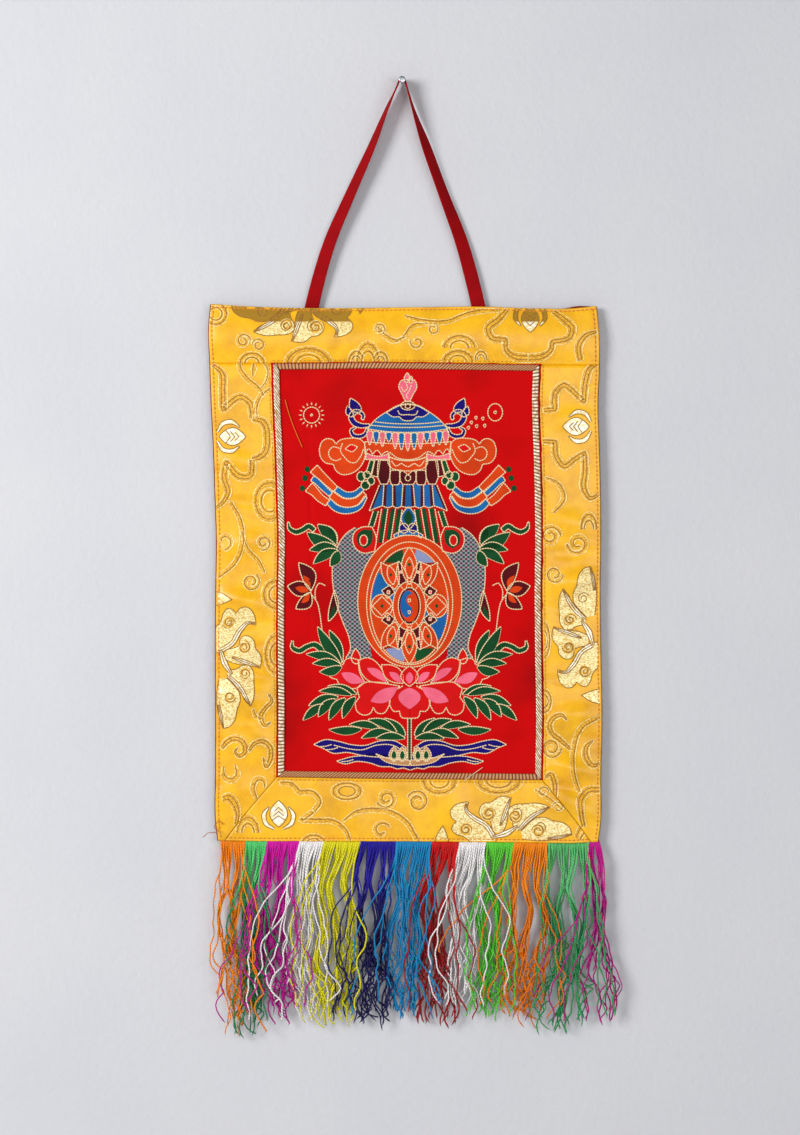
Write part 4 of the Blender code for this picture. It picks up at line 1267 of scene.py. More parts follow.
    def skirt(self, emblem):
        """Maroon pleats over a blue skirt, then hanging strips down to the wheel."""
        emblem.band("green", [(-20.8, 86.2), (-23.0, 78.4)], [2.6, 3.2], 0)
        emblem.band("maroon", [(-17.6, 86.4), (-19.4, 76.6)], [3.2, 3.8], 0)
        foot = [(-22.7, 55.8), (-19.0, 57.4), (-14.7, 58.9), (-14.7, 58.9), (-11.5, 57.8), (-8.6, 58.8)]
        foot += [(-8.6, 58.8), (-6.0, 57.6), (-3.3, 58.6), (-3.3, 58.6), (0.8, 57.6)]
        emblem.between("blue", [(-16.6, 71.4), (-8, 71.8), (0.8, 72.0)], foot, 0, True, False)
        emblem.line(foot, 2)
        emblem.line([(-16.6, 71.4), (-22.7, 55.8)], 2)
        emblem.between(
            "maroon", [(-16.6, 71.4), (-22.7, 55.8)], [(-15.0, 71.4), (-20.8, 56.8)], 1, True, False
        )
        for top, low in ((-13.8, -14.7), (-8.6, -8.6), (-2.4, -3.3)):
            emblem.between(
                "maroon", [(top, 71.4), (low, 58.7)], [(top + 1.7, 71.4), (low + 2.1, 58.2)], 1, True, False
            )
            emblem.line([(top, 71.4), (low, 58.7)], 2)
        emblem.band("maroon", [(-13.8, 86.2), (-13.9, 79.0), (-13.8, 71.9)], [6.4, 7.4, 7.6, 7.0, 4.0], 2)
        emblem.band("maroon", [(-7.2, 80.2), (-7.2, 76.0), (-7.2, 71.5)], [5.2, 6.0, 6.2, 4.2], 2)
        emblem.band("maroon", [(0.6, 79.8), (0.6, 76.0), (0.6, 71.7)], [8.8, 10.0, 9.8, 6.4], 2, False)
        emblem.between(
            "orange",
            [(-11.2, 86.6), (-8.6, 81.2), (-6.2, 80.6), (-6.2, 80.6), (-3.2, 80.2), (0.5, 77.6)],
            [(-11.2, 86.8), (-6, 85.0), (0.5, 84.4)],
            3,
            True,
            False,
        )
        emblem.edge(oval_line((0.6, 75.6), 1.6, 1.8), 3, False)
        for x, y, foot_x, foot_y in (
            (-18.6, 55.8, -21.4, 46.4), (-13.0, 57.2, -16.0, 36.6), (-8.4, 57.2, -11.2, 38.6),
            (-4.4, 56.8, -6.8, 41.0),
        ):
            emblem.band("green", [(x, y), (foot_x, foot_y)], 2.6, 0, True, False)
            emblem.line([(x + 1.5, y), (foot_x + 1.5, foot_y)], 1)
        emblem.line([(-20.2, 55.8), (-23.0, 46.8)], 1)
        emblem.line([(-15.2, 57.2), (-18.4, 38.4)], 1)
        emblem.band(
            "blue",
            [(-7.6, 40.4), (-4, 42.2), (0.8, 42.8), (5.6, 42.2), (9.2, 40.4)],
            [2.0, 3.2, 2.0],
            1,
            False,
        )
        emblem.blade("blue", (0.9, 44.6), (0.8, 58.4), 8.6, 0.0, 0.95, 1, False)
        emblem.blade("green", (0.9, 47.0), (0.8, 56.2), 5.4, 0.0, 0.95, 2, False, False)
        emblem.oval("navy", (-1.9, 45.4), 2.8, 2.9, 2)

    def fish(self, emblem):
        """Two upright fish behind the wheel: scaled bodies, red heads, a fin and a split tail."""
        outer = [(-31.1, 45.9), (-36.2, 42.4), (-41.0, 35.9), (-44.0, 27.3), (-44.8, 18.0), (-44.0, 8.6)]
        outer += [(-41.8, -1.4), (-38.4, -11.0), (-34.8, -20.2), (-34.0, -27.3), (-36.6, -32.4)]
        inner = [
            (-24.0, 44.0), (-20.4, 35.0), (-23.5, 22.0), (-26.5, 8.0), (-26.5, -8.0), (-23.0, -22.0),
            (-20.6, -33.4),
        ]
        emblem.between("scales", outer, inner, 0, True, False)
        emblem.line(outer, 0)
        emblem.between(
            "red",
            [
                (-21.0, 46.4), (-27.2, 46.0), (-31.4, 43.2), (-32.6, 38.6), (-30.8, 33.4), (-26.4, 30.6),
                (-19.4, 31.6),
            ],
            [(-21.0, 46.4), (-18.4, 40.0), (-19.4, 31.6)],
            1,
        )
        emblem.between(
            "green",
            [(-20.8, 44.2), (-26.6, 44.4), (-29.9, 41.2), (-29.4, 36.2), (-25.4, 33.2)],
            [(-20.8, 44.2), (-20.6, 39.6), (-22.0, 35.6), (-25.4, 33.2)],
            2,
            True,
            False,
        )
        emblem.oval("red", (-26.0, 38.2), 2.3, 3.2, 3)
        emblem.blade("red", (-30.4, -36.0), (-30.8, -26.6), 5.6, 0.0, 0.7, 1)
        emblem.blade("maroon", (-43.6, 8.4), (-47.0, -10.4), 5.2, 1.6, 1.15, 1)
        emblem.blade("green", (-43.6, -1.0), (-46.6, -9.2), 2.4, 0.6, 1.1, 2, True, False)

    def wheel(self, emblem):
        """The wheel: a broad rim, a field of eight colours, petals, gems and a turning hub."""
        middle = (1.4, -0.9)
        emblem.oval("orange", (1.7, 1.7), 31.2, 39.6, 2, False)
        emblem.edge(oval_line((1.6, 0.4), 25.8, 36.8), 3, False)
        emblem.oval("orange", middle, 23.4, 34.6, 3, False)
        for thread, start, end in WHEEL_SECTORS:
            emblem.oval(thread, middle, 22.8, 34.0, 4, False, start, end, 0.35, False)
        for up in (1, -1):
            emblem.blade("orange", (1.4, 12.5 * up - 0.9), (1.4, 35.0 * up - 0.9), 9.2, 0.0, 1.0, 6, False)
            emblem.blade("orange", (1.4, 16.0 * up - 0.9), (1.4, 29.0 * up - 0.9), 5.0, 0.0, 1.0, 7, False)
            emblem.oval("green", (1.4, 24.6 * up - 0.9), 0.9, 1.1, 8, False, edged=False)
            for side in (-1, 1):
                place = lambda x, y: (1.4 + side * x, -0.9 + up * y)
                emblem.blade("maroon", place(2.6, 9.0), place(6.4, 26.6), 6.0, 0.0, 0.9, 5, False)
                emblem.oval("pink", place(5.2, 20.0), 0.6, 0.8, 6, False)
                fan = [(8.4, 9.6), (13.6, 13.6), (16.2, 18.6), (17.2, 26.0), (17.2, 26.0), (12.6, 23.6)]
                near = [(8.4, 9.6), (6.2, 14.0), (6.2, 19.0), (7.0, 26.0), (7.0, 26.0), (12.6, 23.6)]
                emblem.between("orange", [place(*p) for p in fan], [place(*p) for p in near], 6, False)
                emblem.blade(
                    "orange", place(9.6, 12.4), place(12.4, 24.0), 5.0, 0.4 * side * up, 1.0, 7, False
                )
                emblem.oval("green", place(11.2, 18.4), 0.8, 1.0, 8, False, edged=False)
                gem = [place(x, y) for x, y in ((8.6, 7.8), (11.6, 12.4), (16.6, 9.0), (13.2, 4.2))]
                emblem.between(
                    "maroon", [gem[0], gem[1], gem[1], gem[2]], [gem[0], gem[3], gem[3], gem[2]], 5, False
                )
                emblem.oval("pink", place(12.5, 8.0), 0.9, 1.1, 6, False)
        for side in (-1, 1):
            x = 1.4 + side * 16.4
            emblem.oval("orange", (x, -1.2), 6.4, 7.0, 6, False)
            emblem.line(
                [
                    (x - 5.8, -1.2), (x, 4.6), (x, 4.6), (x + 5.8, -1.2), (x + 5.8, -1.2), (x, -7.0),
                    (x, -7.0), (x - 5.8, -1.2),
                ],
                6,
                False,
            )
            emblem.oval("green", (x, -1.2), 0.9, 1.1, 7, False, edged=False)
        emblem.oval("orange", (1.4, -1.1), 9.8, 14.6, 7, False)
        emblem.oval("maroon", (1.4, -1.1), 6.6, 11.0, 8, False)
        emblem.oval("orange", (1.4, -1.1), 5.4, 9.6, 9, False, edged=False)
        comma = [(3.4, 6.4), (0.4, 8.2), (-2.6, 5.4), (-3.9, -0.6), (-3.0, -5.6), (-0.4, -8.2), (2.2, -6.8)]
        belly = [(3.4, 6.4), (0.8, 5.2), (-0.6, 2.2), (0.8, -0.4), (2.8, -2.4), (3.2, -4.8), (2.2, -6.8)]
        emblem.between("blue", comma, belly, 10, False, False)
        for y in (2.2, -4.9):
            emblem.edge(oval_line((1.4, y), 0.8, 1.0), 11, False)

    def plants(self, emblem):
        """Leaves at four heights, with curled tails, and a flower on a thin stem at each side."""
        for leaf in LEAVES:
            place = (leaf.x, leaf.y), (leaf.tip_x, leaf.tip_y)
            edges = blade_edges(*place, leaf.width, leaf.bend, leaf.full)
            # A second fill covers the outlines, so that only those round the whole spray show, and one
            # edge of each leaf is drawn again above it
            emblem.fill(leaf.thread, between(*edges), edges, 0)
            emblem.fill(leaf.thread, between(*edges), (), 5)
            emblem.edge(edges[1], 5)
        upper = [(-71.2, 49.2), (-70.4, 45.4), (-66.6, 43.2), (-62.4, 44.6), (-59.0, 46.6), (-55.4, 44.2)]
        emblem.band("green", upper, [0.8, 2.4, 3.0, 3.0, 3.2, 3.0], 0)
        lower = [
            (-68.6, -21.8), (-68.8, -25.8), (-64.6, -28.0), (-60.0, -25.6), (-55.6, -24.4), (-51.0, -27.6)
        ]
        emblem.band("green", [*lower, (-45.0, -33.0)], [0.8, 2.8, 3.2, 3.0, 3.6, 3.6, 2.6], 0)
        for number, petal in enumerate(SIDE_FLOWERS):
            place = (petal.x, petal.y), (petal.tip_x, petal.tip_y)
            emblem.blade(
                petal.thread, *place, petal.width, petal.bend, petal.full, 1 + number // 3, True, number < 3
            )
        emblem.line([(-57.2, 5.6), (-54.2, 1.6), (-52.4, -5.0), (-51.4, -12.0), (-50.7, -17.0)], 0)
        emblem.line([(-54.8, 2.0), (-54.8, 9.0), (-52.6, 12.4), (-48.8, 11.0)], 0)

    def lotus(self, emblem):
        """A red lotus with pink hearts: three petals and a centre above, three broad ones below."""
        rim = [
            (-25.4, -47.0), (-30.1, -50.4), (-35.9, -50.4), (-40.2, -48.6), (-42.1, -45.3), (-42.1, -45.3)
        ]
        rim += [(-46.2, -43.6), (-47.4, -39.8), (-44.5, -36.0), (-38.3, -36.4)]
        top = [
            (-25.4, -47.0), (-28.4, -40.6), (-29.2, -33.6), (-29.2, -33.6), (-33.0, -32.5), (-36.8, -33.2),
            (-38.3, -36.4),
        ]
        emblem.between("red", rim, top, 0)
        outer = [
            (-11.0, -47.5), (-13.4, -44.2), (-15.0, -39.4), (-18.4, -34.8), (-23.4, -32.2), (-29.2, -33.6)
        ]
        inner = [(-11.0, -47.5), (-16.4, -47.0), (-22.6, -46.2), (-27.2, -41.6), (-29.2, -33.6)]
        emblem.between("red", outer, inner, 4)
        outer = [(-2.2, -47.6), (-2.2, -43.6), (-4.2, -39.4), (-8.6, -36.8), (-15.4, -36.4)]
        inner = [(-2.2, -47.6), (-8.0, -47.0), (-12.6, -44.4), (-14.6, -40.4), (-15.4, -36.4)]
        emblem.between("red", outer, inner, 7)
        lower = [
            (-4.3, -49.2), (-16.0, -47.4), (-25.4, -47.2), (-29.6, -50.4), (-28.6, -55.9), (-28.6, -55.9)
        ]
        lower += [(-31.1, -59.5)]
        rounds = [
            (-4.3, -49.2), (-9.2, -54.4), (-11.0, -61.5), (-14.0, -65.5), (-18.0, -65.2), (-20.2, -62.0)
        ]
        rounds += [(-20.2, -62.0), (-22.0, -65.5), (-26.0, -66.6), (-30.0, -64.2), (-31.1, -59.5)]
        emblem.between("red", lower, rounds, 1)
        heart = [
            (-2.4, -49.0), (-9.4, -54.0), (-10.4, -60.0), (-7.6, -64.4), (-4.6, -64.2), (-4.6, -64.2),
            (-3.4, -67.8), (1.5, -68.6),
        ]
        emblem.between(
            "red", heart, [(-2.4, -49.0), (1.5, -50.0), (1.5, -60.0), (1.5, -68.6)], 2, True, False
        )
        emblem.line(heart, 2)
        emblem.blade("red", (1.5, -49.4), (1.5, -37.2), 10.4, 0.0, 1.0, 10, False)
        for petal in LOTUS_HEARTS:
            place = (petal.x, petal.y), (petal.tip_x, petal.tip_y)
            emblem.blade(petal.thread, *place, petal.width, petal.bend, petal.full, 9, True, False)
        emblem.blade("pink", (1.5, -48.0), (1.5, -40.6), 4.6, 0.0, 1.0, 11, False, False)
        emblem.blade("pink", (1.5, -50.2), (1.5, -63.0), 13.4, 0.0, 0.85, 6, False, False)

    def water(self, emblem):
        """Waves with split tips round a small boat of buds, and the stem that rises from it."""
        crest = [
            (-56.0, -84.2), (-49.3, -81.4), (-41.0, -82.4), (-34.0, -84.2), (-25.4, -84.8), (-15.8, -82.0),
            (-7.0, -82.2), (-0.6, -86.0),
        ]
        trough = [
            (-56.0, -84.2), (-50.6, -86.4), (-44.6, -89.4), (-36.0, -89.0), (-26.0, -91.0), (-14.0, -92.0),
            (-0.6, -93.0),
        ]
        emblem.between("navy", crest, trough, 0)
        trough = [
            (-42.2, -94.2), (-37.8, -95.8), (-30.0, -94.4), (-22.0, -95.4), (-15.8, -97.4), (-9.0, -97.8),
            (-6.2, -98.8), (-2.0, -98.4), (1.8, -99.6),
        ]
        emblem.between(
            "navy",
            [(-42.2, -94.2), (-33.0, -92.0), (-26.0, -90.0), (-12.0, -90.0), (1.8, -90.0)],
            trough,
            0,
            True,
            False,
        )
        emblem.line([(-24.6, -90.8), (-33.0, -91.6), (-42.2, -94.2), (-42.2, -94.2), *trough[1:]], 0)
        for x, y in ((-52.4, -85.6), (-48.6, -87.4), (-39.4, -94.6)):
            emblem.line([(x, y), (x + 4.0, y + 0.4), (x + 7.4, y + 1.4)], 1)
        emblem.line(
            [(-44.0, -84.6), (-36.0, -86.6), (-27.0, -87.4), (-18.0, -84.6), (-9.0, -84.6), (-1.0, -89.0)],
            1,
        )
        emblem.between(
            "tan",
            [(-18.8, -89.8), (-11.0, -92.6), (-3.0, -93.4), (1.6, -93.6)],
            [(-18.8, -89.8), (-13.0, -94.4), (-5.0, -96.4), (1.6, -96.8)],
            1,
        )
        for x in (-7.8, -2.8):
            emblem.blade("tan", (x, -94.6), (x, -85.6), 6.0, 0.0, 0.85, 2)
            emblem.blade("green", (x, -94.0), (x, -87.2), 3.4, 0.0, 0.85, 3)
        emblem.band("green", [(1.5, -68.6), (1.5, -82.0), (1.5, -94.0)], 2.1, 4, False)


# Figures in the yellow brocade


def border_face(name, x, drop):
    """Height of a border's face above the wall at points of the flat cut."""
    pucker = sizes().pucker / MM
    if name == "top":
        return top_border_height(x, drop, pucker)
    if name == "bottom":
        return bottom_border_height(x, drop, pucker) + 0.25
    return side_border_height(x, drop, pucker, -1 if name == "left" else 1)


def inside_border(name, x, drop):
    """How far inside a border's own cut a point lies, short of its seams, mitres and turned edges."""
    left, right = x - BODY_LEFT_X, BODY_RIGHT_X - x
    if name == "top":
        return np.minimum(np.minimum(left, right) - 0.4, np.minimum(drop - 0.4, TOP_BORDER - 0.2 - drop))
    if name == "bottom":
        levels = np.minimum(BODY_HEIGHT - 0.5 - drop, drop - BODY_HEIGHT + BOTTOM_BORDER)
        return np.minimum(inside_mitres(x, drop) - 0.5, levels)
    inward, width = (left, LEFT_BORDER) if name == "left" else (right, RIGHT_BORDER)
    low = mitre_drop(inward, width) - drop
    across = np.minimum(inward - 0.4, width - 0.2 - inward)
    return np.minimum(across, np.minimum(drop - TOP_BORDER - 0.3, low - 0.4))


def on_border(name, seen=True):
    """Gives the function that places things on a border, and leaves out what its seams cut off.

    A place is given as seen from the front, or else in the flat cut: x, and minus the drop.
    """

    def place(x, z, lift):
        cut_x, drop = flat_from_seen(x, z) if seen else (x, -z)
        height = border_face(name, cut_x, drop) + lift
        return hang(cut_x, drop, height), inside_border(name, cut_x, drop) > -0.25

    return place


def quarter_turned(points, placed):
    """Turns points by quarter turns against the clock, then shifts them."""
    for _ in range(placed.quarters):
        points = np.stack([-points[..., 1], points[..., 0]], axis=-1)
    return points + np.array([placed.x, placed.z])


def gilt_weft(name, light, shade, speckle, metallic, roughness, painted_shade_above=None):
    """Gilt paper thread woven into the satin: short glittering floats, so it looks speckled.

    Above a given height its colour turns to a dull brass: painted shade, where the rolled heading turns the
    gilt out of the light.
    """
    made, tree, shader = new_material(name, roughness, metallic, 0.5)
    place = object_place(tree)
    squeezed = node(tree, "ShaderNodeMapping", {"Vector": place, "Scale": (1.0, 1.0, 1.9)}).outputs[0]
    flecks = {"Vector": squeezed, "Scale": 1 / (speckle * MM), "Detail": 1.0}
    fleck = node(tree, "ShaderNodeTexNoise", flecks).outputs["Fac"]
    share = node(tree, "ShaderNodeMapRange", {"Value": fleck, 1: 0.42, 2: 0.62}).outputs[0]
    colour = mixed(tree, share, linear(light), linear(shade))
    if painted_shade_above is not None:
        height = node(tree, "ShaderNodeSeparateXYZ", {"Vector": place}).outputs["Z"]
        low, high = (painted_shade_above - 0.3) * MM, (painted_shade_above + 0.3) * MM
        share = node(tree, "ShaderNodeMapRange", {"Value": height, 1: low, 2: high}).outputs[0]
        # Painted shade: above that height the gilt is given a dull brass colour
        colour = mixed(tree, share, colour, linear("A57A1C"))
    tree.links.new(colour, shader.inputs["Base Color"])
    bumped(tree, shader, fleck, 0.5, 0.15)
    return made


# Vines and cloud bands, drawn along their middle lines, with widths evenly spaced
Vine = namedtuple("Vine", "on widths points")
VINES = [
    Vine(
        "top",
        [1.6, 3.2, 3.2, 3.0, 3.4, 2.2],
        [(1.6, -141), (12, -144), (29, -144), (36, -141), (44, -138.6), (58, -137.6)],
    ),
    Vine("top", [1.4, 3.0, 3.4, 2.2], [(-4.2, -157), (1, -154), (6.5, -147.4), (16, -146)]),
    Vine("top", [2.6, 3.6, 3.4, 1.2], [(-15.6, -147.6), (-11.0, -152.4), (-4.2, -156.2), (2.0, -153.8)]),
    Vine(
        "top",
        [3.4, 5.4, 5.6, 5.0, 4.4, 4.2, 5.4, 5.6],
        [
            (63.3, -137.2), (57.4, -143.6), (51.6, -148.8), (53.4, -154), (62, -155.6), (62, -155.6),
            (62.4, -161.4), (67, -165.2), (75.6, -166.4),
        ],
    ),
    Vine(
        "top",
        [3.4, 5.4, 5.6, 5.0, 4.4, 4.2, 5.4, 5.6],
        [
            (90.6, -138.4), (96.4, -142.8), (102.0, -149.0), (100.6, -153.6), (90.2, -156.8),
            (90.2, -156.8), (89.0, -162), (84, -165.4), (75.6, -166.4),
        ],
    ),
    Vine("top", [2.4, 4.2, 5.2, 4.4], [(117, -150.4), (110, -153), (106, -159), (107, -168)]),
    Vine(
        "left",
        [3.0, 5.2, 5.4, 5.0, 5.4, 5.0, 4.4],
        [
            (-113.4, -170.4), (-108.2, -175), (-107.4, -186), (-107.2, -197.0), (-107.2, -197.0),
            (-96.4, -189.8), (-91.4, -193), (-89.6, -202.4),
        ],
    ),
    Vine(
        "left",
        [4.4, 5.4, 5.4, 5.4, 4.4],
        [(-89.6, -202.4), (-83.2, -204.6), (-80.6, -213.6), (-83.0, -224.2), (-89.6, -227.4)],
    ),
    Vine(
        "left",
        [4.4, 5.2, 5.4, 5.0, 5.2, 4.0, 2.6],
        [
            (-89.6, -227.4), (-91.4, -237.2), (-96.4, -237.6), (-105.4, -229.0), (-105.4, -229.0),
            (-106.6, -238), (-104.4, -247), (-107.6, -253), (-112, -256.4),
        ],
    ),
    Vine(
        "left",
        [2.4, 3.2, 3.4, 3.2, 2.6],
        [(-103.0, -252.4), (-97.0, -263.8), (-95.6, -275.8), (-100.0, -288.6), (-110.6, -298)],
    ),
    Vine("left", [1.6, 2.8, 3.2, 2.4], [(-96.2, -270), (-92.6, -281), (-86, -288.4), (-82.6, -295)]),
    Vine(
        "left",
        [2.4, 3.2, 3.4, 3.0, 2.0],
        [(-98, -167), (-97.0, -173), (-92.6, -179), (-86, -184.6), (-82.8, -189.5)],
    ),
    Vine("left", [1.2, 1.6, 1.6, 1.2], [(-84.5, -167.6), (-80.6, -173.5), (-81.6, -180), (-84.4, -184)]),
    Vine("left", [1.6, 2.8, 3.0, 2.2], [(-78.6, -184.0), (-84.6, -188.6), (-87.6, -196), (-87.2, -202)]),
    Vine("left", [1.0, 3.4, 1.0], [(-89.4, -177.4), (-88.8, -173), (-89, -168.8)]),
    Vine(
        "left",
        [3.0, 4.2, 4.4, 4.6, 4.6, 3.6, 2.4, 1.0],
        [(-108.2, -400.5), (-104.6, -396.2), (-99.3, -394.4), (-95, -397), (-94.2, -402.4), (-97.6, -405),
         (-100, -402.2), (-98.2, -399.6)],
    ),
    Vine(
        "left",
        [2.2, 3.4, 4.0, 4.4, 4.4, 3.6, 1.0],
        [
            (-91.8, -402), (-88.4, -397.4), (-83.4, -396), (-79.2, -399.4), (-78.6, -405.6), (-81.4, -411),
            (-83.4, -405.6),
        ],
    ),
    Vine(
        "left",
        [1.0, 3.2, 4.0, 3.6, 0.8],
        [(-107.2, -410.8), (-106.6, -417.4), (-102, -419.4), (-98.6, -416.6), (-100.2, -410)],
    ),
    Vine(
        "left",
        [4.5, 6.4, 5.0, 3.8, 2.4],
        [(-107.8, -430.6), (-104, -429.8), (-99.8, -434.6), (-98.6, -440.4), (-99.8, -446.4)],
    ),
    Vine(
        "left",
        [1.2, 3.2, 3.6, 3.4, 2.8, 1.0],
        [(-82.2, -424), (-82.6, -419.6), (-86.6, -418.6), (-89.4, -424), (-87.6, -430), (-85.6, -433.6)],
    ),
    Vine(
        "left",
        [1.6, 3.2, 3.4, 4.2, 3.2, 1.2],
        [(-80, -367.6), (-78, -371.5), (-82, -376.4), (-84.6, -381), (-82, -386.6), (-78.4, -384.6)],
    ),
    Vine("left", [1.6, 2.8, 2.0], [(-89.4, -376.6), (-87.6, -381.4), (-84, -383)]),
    Vine(
        "right",
        [3.4, 5.2, 5.0, 4.6, 4.4, 5.2, 5.2, 3.2],
        [
            (84.6, -197.6), (91.4, -197.0), (91.4, -197.0), (92.2, -187), (96.6, -182.6), (104.4, -188),
            (109.0, -192.2), (109.0, -192.2), (110.0, -181), (112.6, -172.8), (118, -169),
        ],
    ),
    Vine(
        "right",
        [3.4, 5.0, 4.6, 4.6, 4.4, 5.2, 4.6, 2.8],
        [
            (84.6, -216.0), (91.8, -216.8), (91.8, -216.8), (92.8, -226), (97.4, -231.2), (103.4, -227),
            (109.4, -223.4), (109.4, -223.4), (109.8, -234), (109.2, -245), (113, -250.4), (118, -248),
        ],
    ),
    Vine(
        "right",
        [3.0, 3.6, 3.4, 3.2, 2.8],
        [(118.8, -381), (107.4, -388), (103.0, -400), (102.6, -415), (106.4, -427)],
    ),
    Vine(
        "right",
        [4.6, 5.6, 5.0, 4.2, 3.6],
        [(118.6, -425), (112, -425.4), (107.4, -430), (107.4, -440), (109, -447.6)],
    ),
    Vine(
        "right",
        [2.6, 3.6, 4.2, 4.2, 4.2, 3.6, 1.4],
        [
            (101.2, -401), (94.5, -395), (89.8, -391), (88.4, -386), (91.2, -381.6), (96, -380.4),
            (98.8, -383.4),
        ],
    ),
    Vine(
        "right",
        [1.2, 4.2, 5.0, 4.4, 2.0],
        [(114.6, -395.6), (110.6, -399.4), (110.6, -406), (115, -410.6), (118.6, -409)],
    ),
    Vine("right", [2.0, 4.4, 4.6, 3.0], [(85.8, -418), (88.8, -415.6), (91.4, -421), (91.6, -430)]),
    Vine("right", [1.8, 3.0, 3.4, 2.2], [(85.8, -238), (93.4, -241.6), (97, -250), (90.4, -259)]),
    Vine(
        "bottom",
        [2.6, 3.6, 3.6, 3.2],
        [
            (-73.4, -421), (-66.4, -421.8), (-61.6, -426.6), (-61.6, -426.6), (-53.4, -427),
            (-49.4, -432.2), (-53, -438),
        ],
    ),
    Vine(
        "bottom",
        [3.2, 3.8, 3.6, 2.6],
        [
            (-53, -438), (-60.4, -443.4), (-60.4, -443.4), (-50, -443.6), (-41.6, -444.0), (-33.6, -450),
            (-31.4, -456),
        ],
    ),
    Vine(
        "bottom",
        [1.6, 3.4, 3.6, 3.6, 3.0],
        [(-35.3, -444), (-27.5, -438.5), (-18, -437), (-7, -438.5), (1, -443), (10, -456.5)],
    ),
    Vine("bottom", [1.8, 3.0, 2.0], [(79.6, -425), (87, -430), (96, -437)]),
]
# The lotus spray, as it lies in the left border: lobes between an outer and an inner edge, veins and curls
SPRAY_LOBES = [
    (
        [(-112, -328), (-108.7, -324), (-107.3, -319.6), (-104.3, -316.5), (-101.1, -317.4), (-99.5, -319.3),
         (-99.5, -319.3), (-96.8, -316.3), (-93.3, -315.6), (-89.8, -318.1), (-88.2, -321.8), (-87.6, -326.5)],
        [(-112, -343), (-107.3, -342.7), (-103.3, -339.7), (-99.3, -336.2), (-95.3, -329.3), (-92.1, -325.8),
         (-87.6, -326.5)],
    ),
    (
        [(-106, -341), (-101, -340.2), (-97.4, -338.4), (-97.2, -335.4), (-95.8, -333.4), (-91.8, -333.2),
         (-88.6, -336), (-87.8, -340.2), (-84.9, -344.2), (-84.3, -348), (-85.4, -352.4)],
        [(-106, -347), (-101, -349.2), (-94.3, -350.2), (-89.3, -350.2), (-85.4, -352.4)],
    ),
    (
        [(-104, -353.5), (-99, -352.6), (-95.8, -350.7), (-91.8, -350.7), (-89.8, -353.2), (-88.8, -361),
         (-88.4, -367), (-89.4, -372), (-90.8, -375)],
        [(-105, -356), (-101.3, -360.6), (-96.8, -365.1), (-94.3, -371), (-90.8, -375)],
    ),
    (
        [(-105.3, -358), (-100.3, -363), (-97.4, -367), (-97.2, -373), (-98.8, -376.4), (-98.8, -376.4),
         (-100.6, -384), (-104, -387.6), (-107.4, -388.4)],
        [(-110, -359), (-111, -369), (-110.6, -377), (-107.4, -388.4)],
    ),
    ([(-113, -306), (-108, -307.4), (-101.8, -311.2)], [(-113, -315), (-107, -313.4), (-101.8, -311.2)]),
]
SPRAY_VEINS = [
    ([2.6, 2.8, 2.6, 0.8], [(-108.5, -341.6), (-102, -337.5), (-97, -329.5), (-92, -325), (-88.4, -325.2)]),
    ([1.4, 3.4, 1.2], [(-109, -341), (-106, -350), (-102, -356)]),
    ([0.8, 2.2, 2.2, 0.6], [(-102, -345.6), (-94, -348.6), (-85.6, -351.6)]),
    ([1.8, 2.6, 2.2, 0.6], [(-104, -357), (-97, -364), (-93, -370.6), (-90.9, -374.8)]),
    ([1.0, 1.8, 0.6], [(-109.8, -374), (-108.6, -382), (-107.2, -388)]),
]
SPRAY_CURLS = [(-104, -325, 3.6), (-94, -339.6, 3.4), (-94, -355.4, 3.2), (-103, -369.4, 3.6)]
# Edge threads of the figures: widths, and the distance between their knots
EDGE_WIDTHS, EDGE_PITCH = {"light": 0.5, "dark": 0.58}, 1.3
# The height above which the rolled heading turns the gilt away from the light
HEADING_TURNS_AWAY = -144.6
# Where the spray lies again: quarter turns, then a shift
Placed = namedtuple("Placed", "on quarters x z")
SPRAYS = [
    Placed("left", 0, 0, 0),
    Placed("right", 2, 5.6, -679.7),
    Placed("bottom", 1, -286.7, -344.7),
    Placed("top", 3, 286.0, -241.5),
]
# Lotus buds by their foot, and the way they point in quarter turns from pointing right
BUDS = [
    Placed("left", 0, -110.9, -213.4),
    Placed("right", 2, 113.4, -207.4),
    Placed("bottom", 1, -74.0, -448.8),
    Placed("top", 3, 76.8, -133.8),
]
# Round clouds, full or cut by a seam, and curls, by their middles
Cloud = namedtuple("Cloud", "on x z across up start end")
CLOUDS = [
    Cloud("top", -111.7, -139.8, 7.6, 7.6, 0, 360),
    Cloud("top", -90.0, -169.4, 8.4, 7.0, 0, 180),
    Cloud("top", -56.2, -169.6, 14.8, 10.4, 0, 180),
    Cloud("top", -20.4, -168.6, 7.6, 12.6, 0, 180),
    Cloud("top", -27.4, -169.0, 5.4, 7.8, 30, 200),
    Cloud("top", -12.8, -169.0, 5.0, 7.4, -20, 150),
    Cloud("top", 34.4, -160.4, 10.8, 8.6, 0, 180),
    Cloud("top", 33.6, -168.8, 10.2, 8.0, 0, 180),
    Cloud("top", 47.4, -167.4, 4.2, 6.0, 0, 180),
    Cloud("left", -79.4, -252, 10.0, 13.0, 60, 300),
    Cloud("left", -75.0, -308, 9.4, 10.0, 80, 280),
    Cloud("left", -75.0, -344, 8.0, 13.4, 80, 280),
    Cloud("right", 85.0, -335.6, 4.2, 12.0, -90, 90),
    Cloud("right", 85.0, -372.0, 5.2, 8.0, -90, 90),
    Cloud("right", 112.0, -269.0, 5.6, 10.6, 0, 180),
    Cloud("bottom", -92.4, -451.0, 7.4, 11.0, 0, 180),
    Cloud("bottom", -33.0, -426.0, 9.8, 5.8, 0, 360),
    Cloud("bottom", 22.4, -419.4, 11.4, 9.2, 180, 360),
    Cloud("bottom", 58.0, -419.4, 14.8, 8.8, 180, 360),
    Cloud("bottom", -53.0, -457.4, 8.0, 6.0, 0, 180),
    Cloud("bottom", 110.4, -457.6, 7.4, 13.4, 20, 160),
]
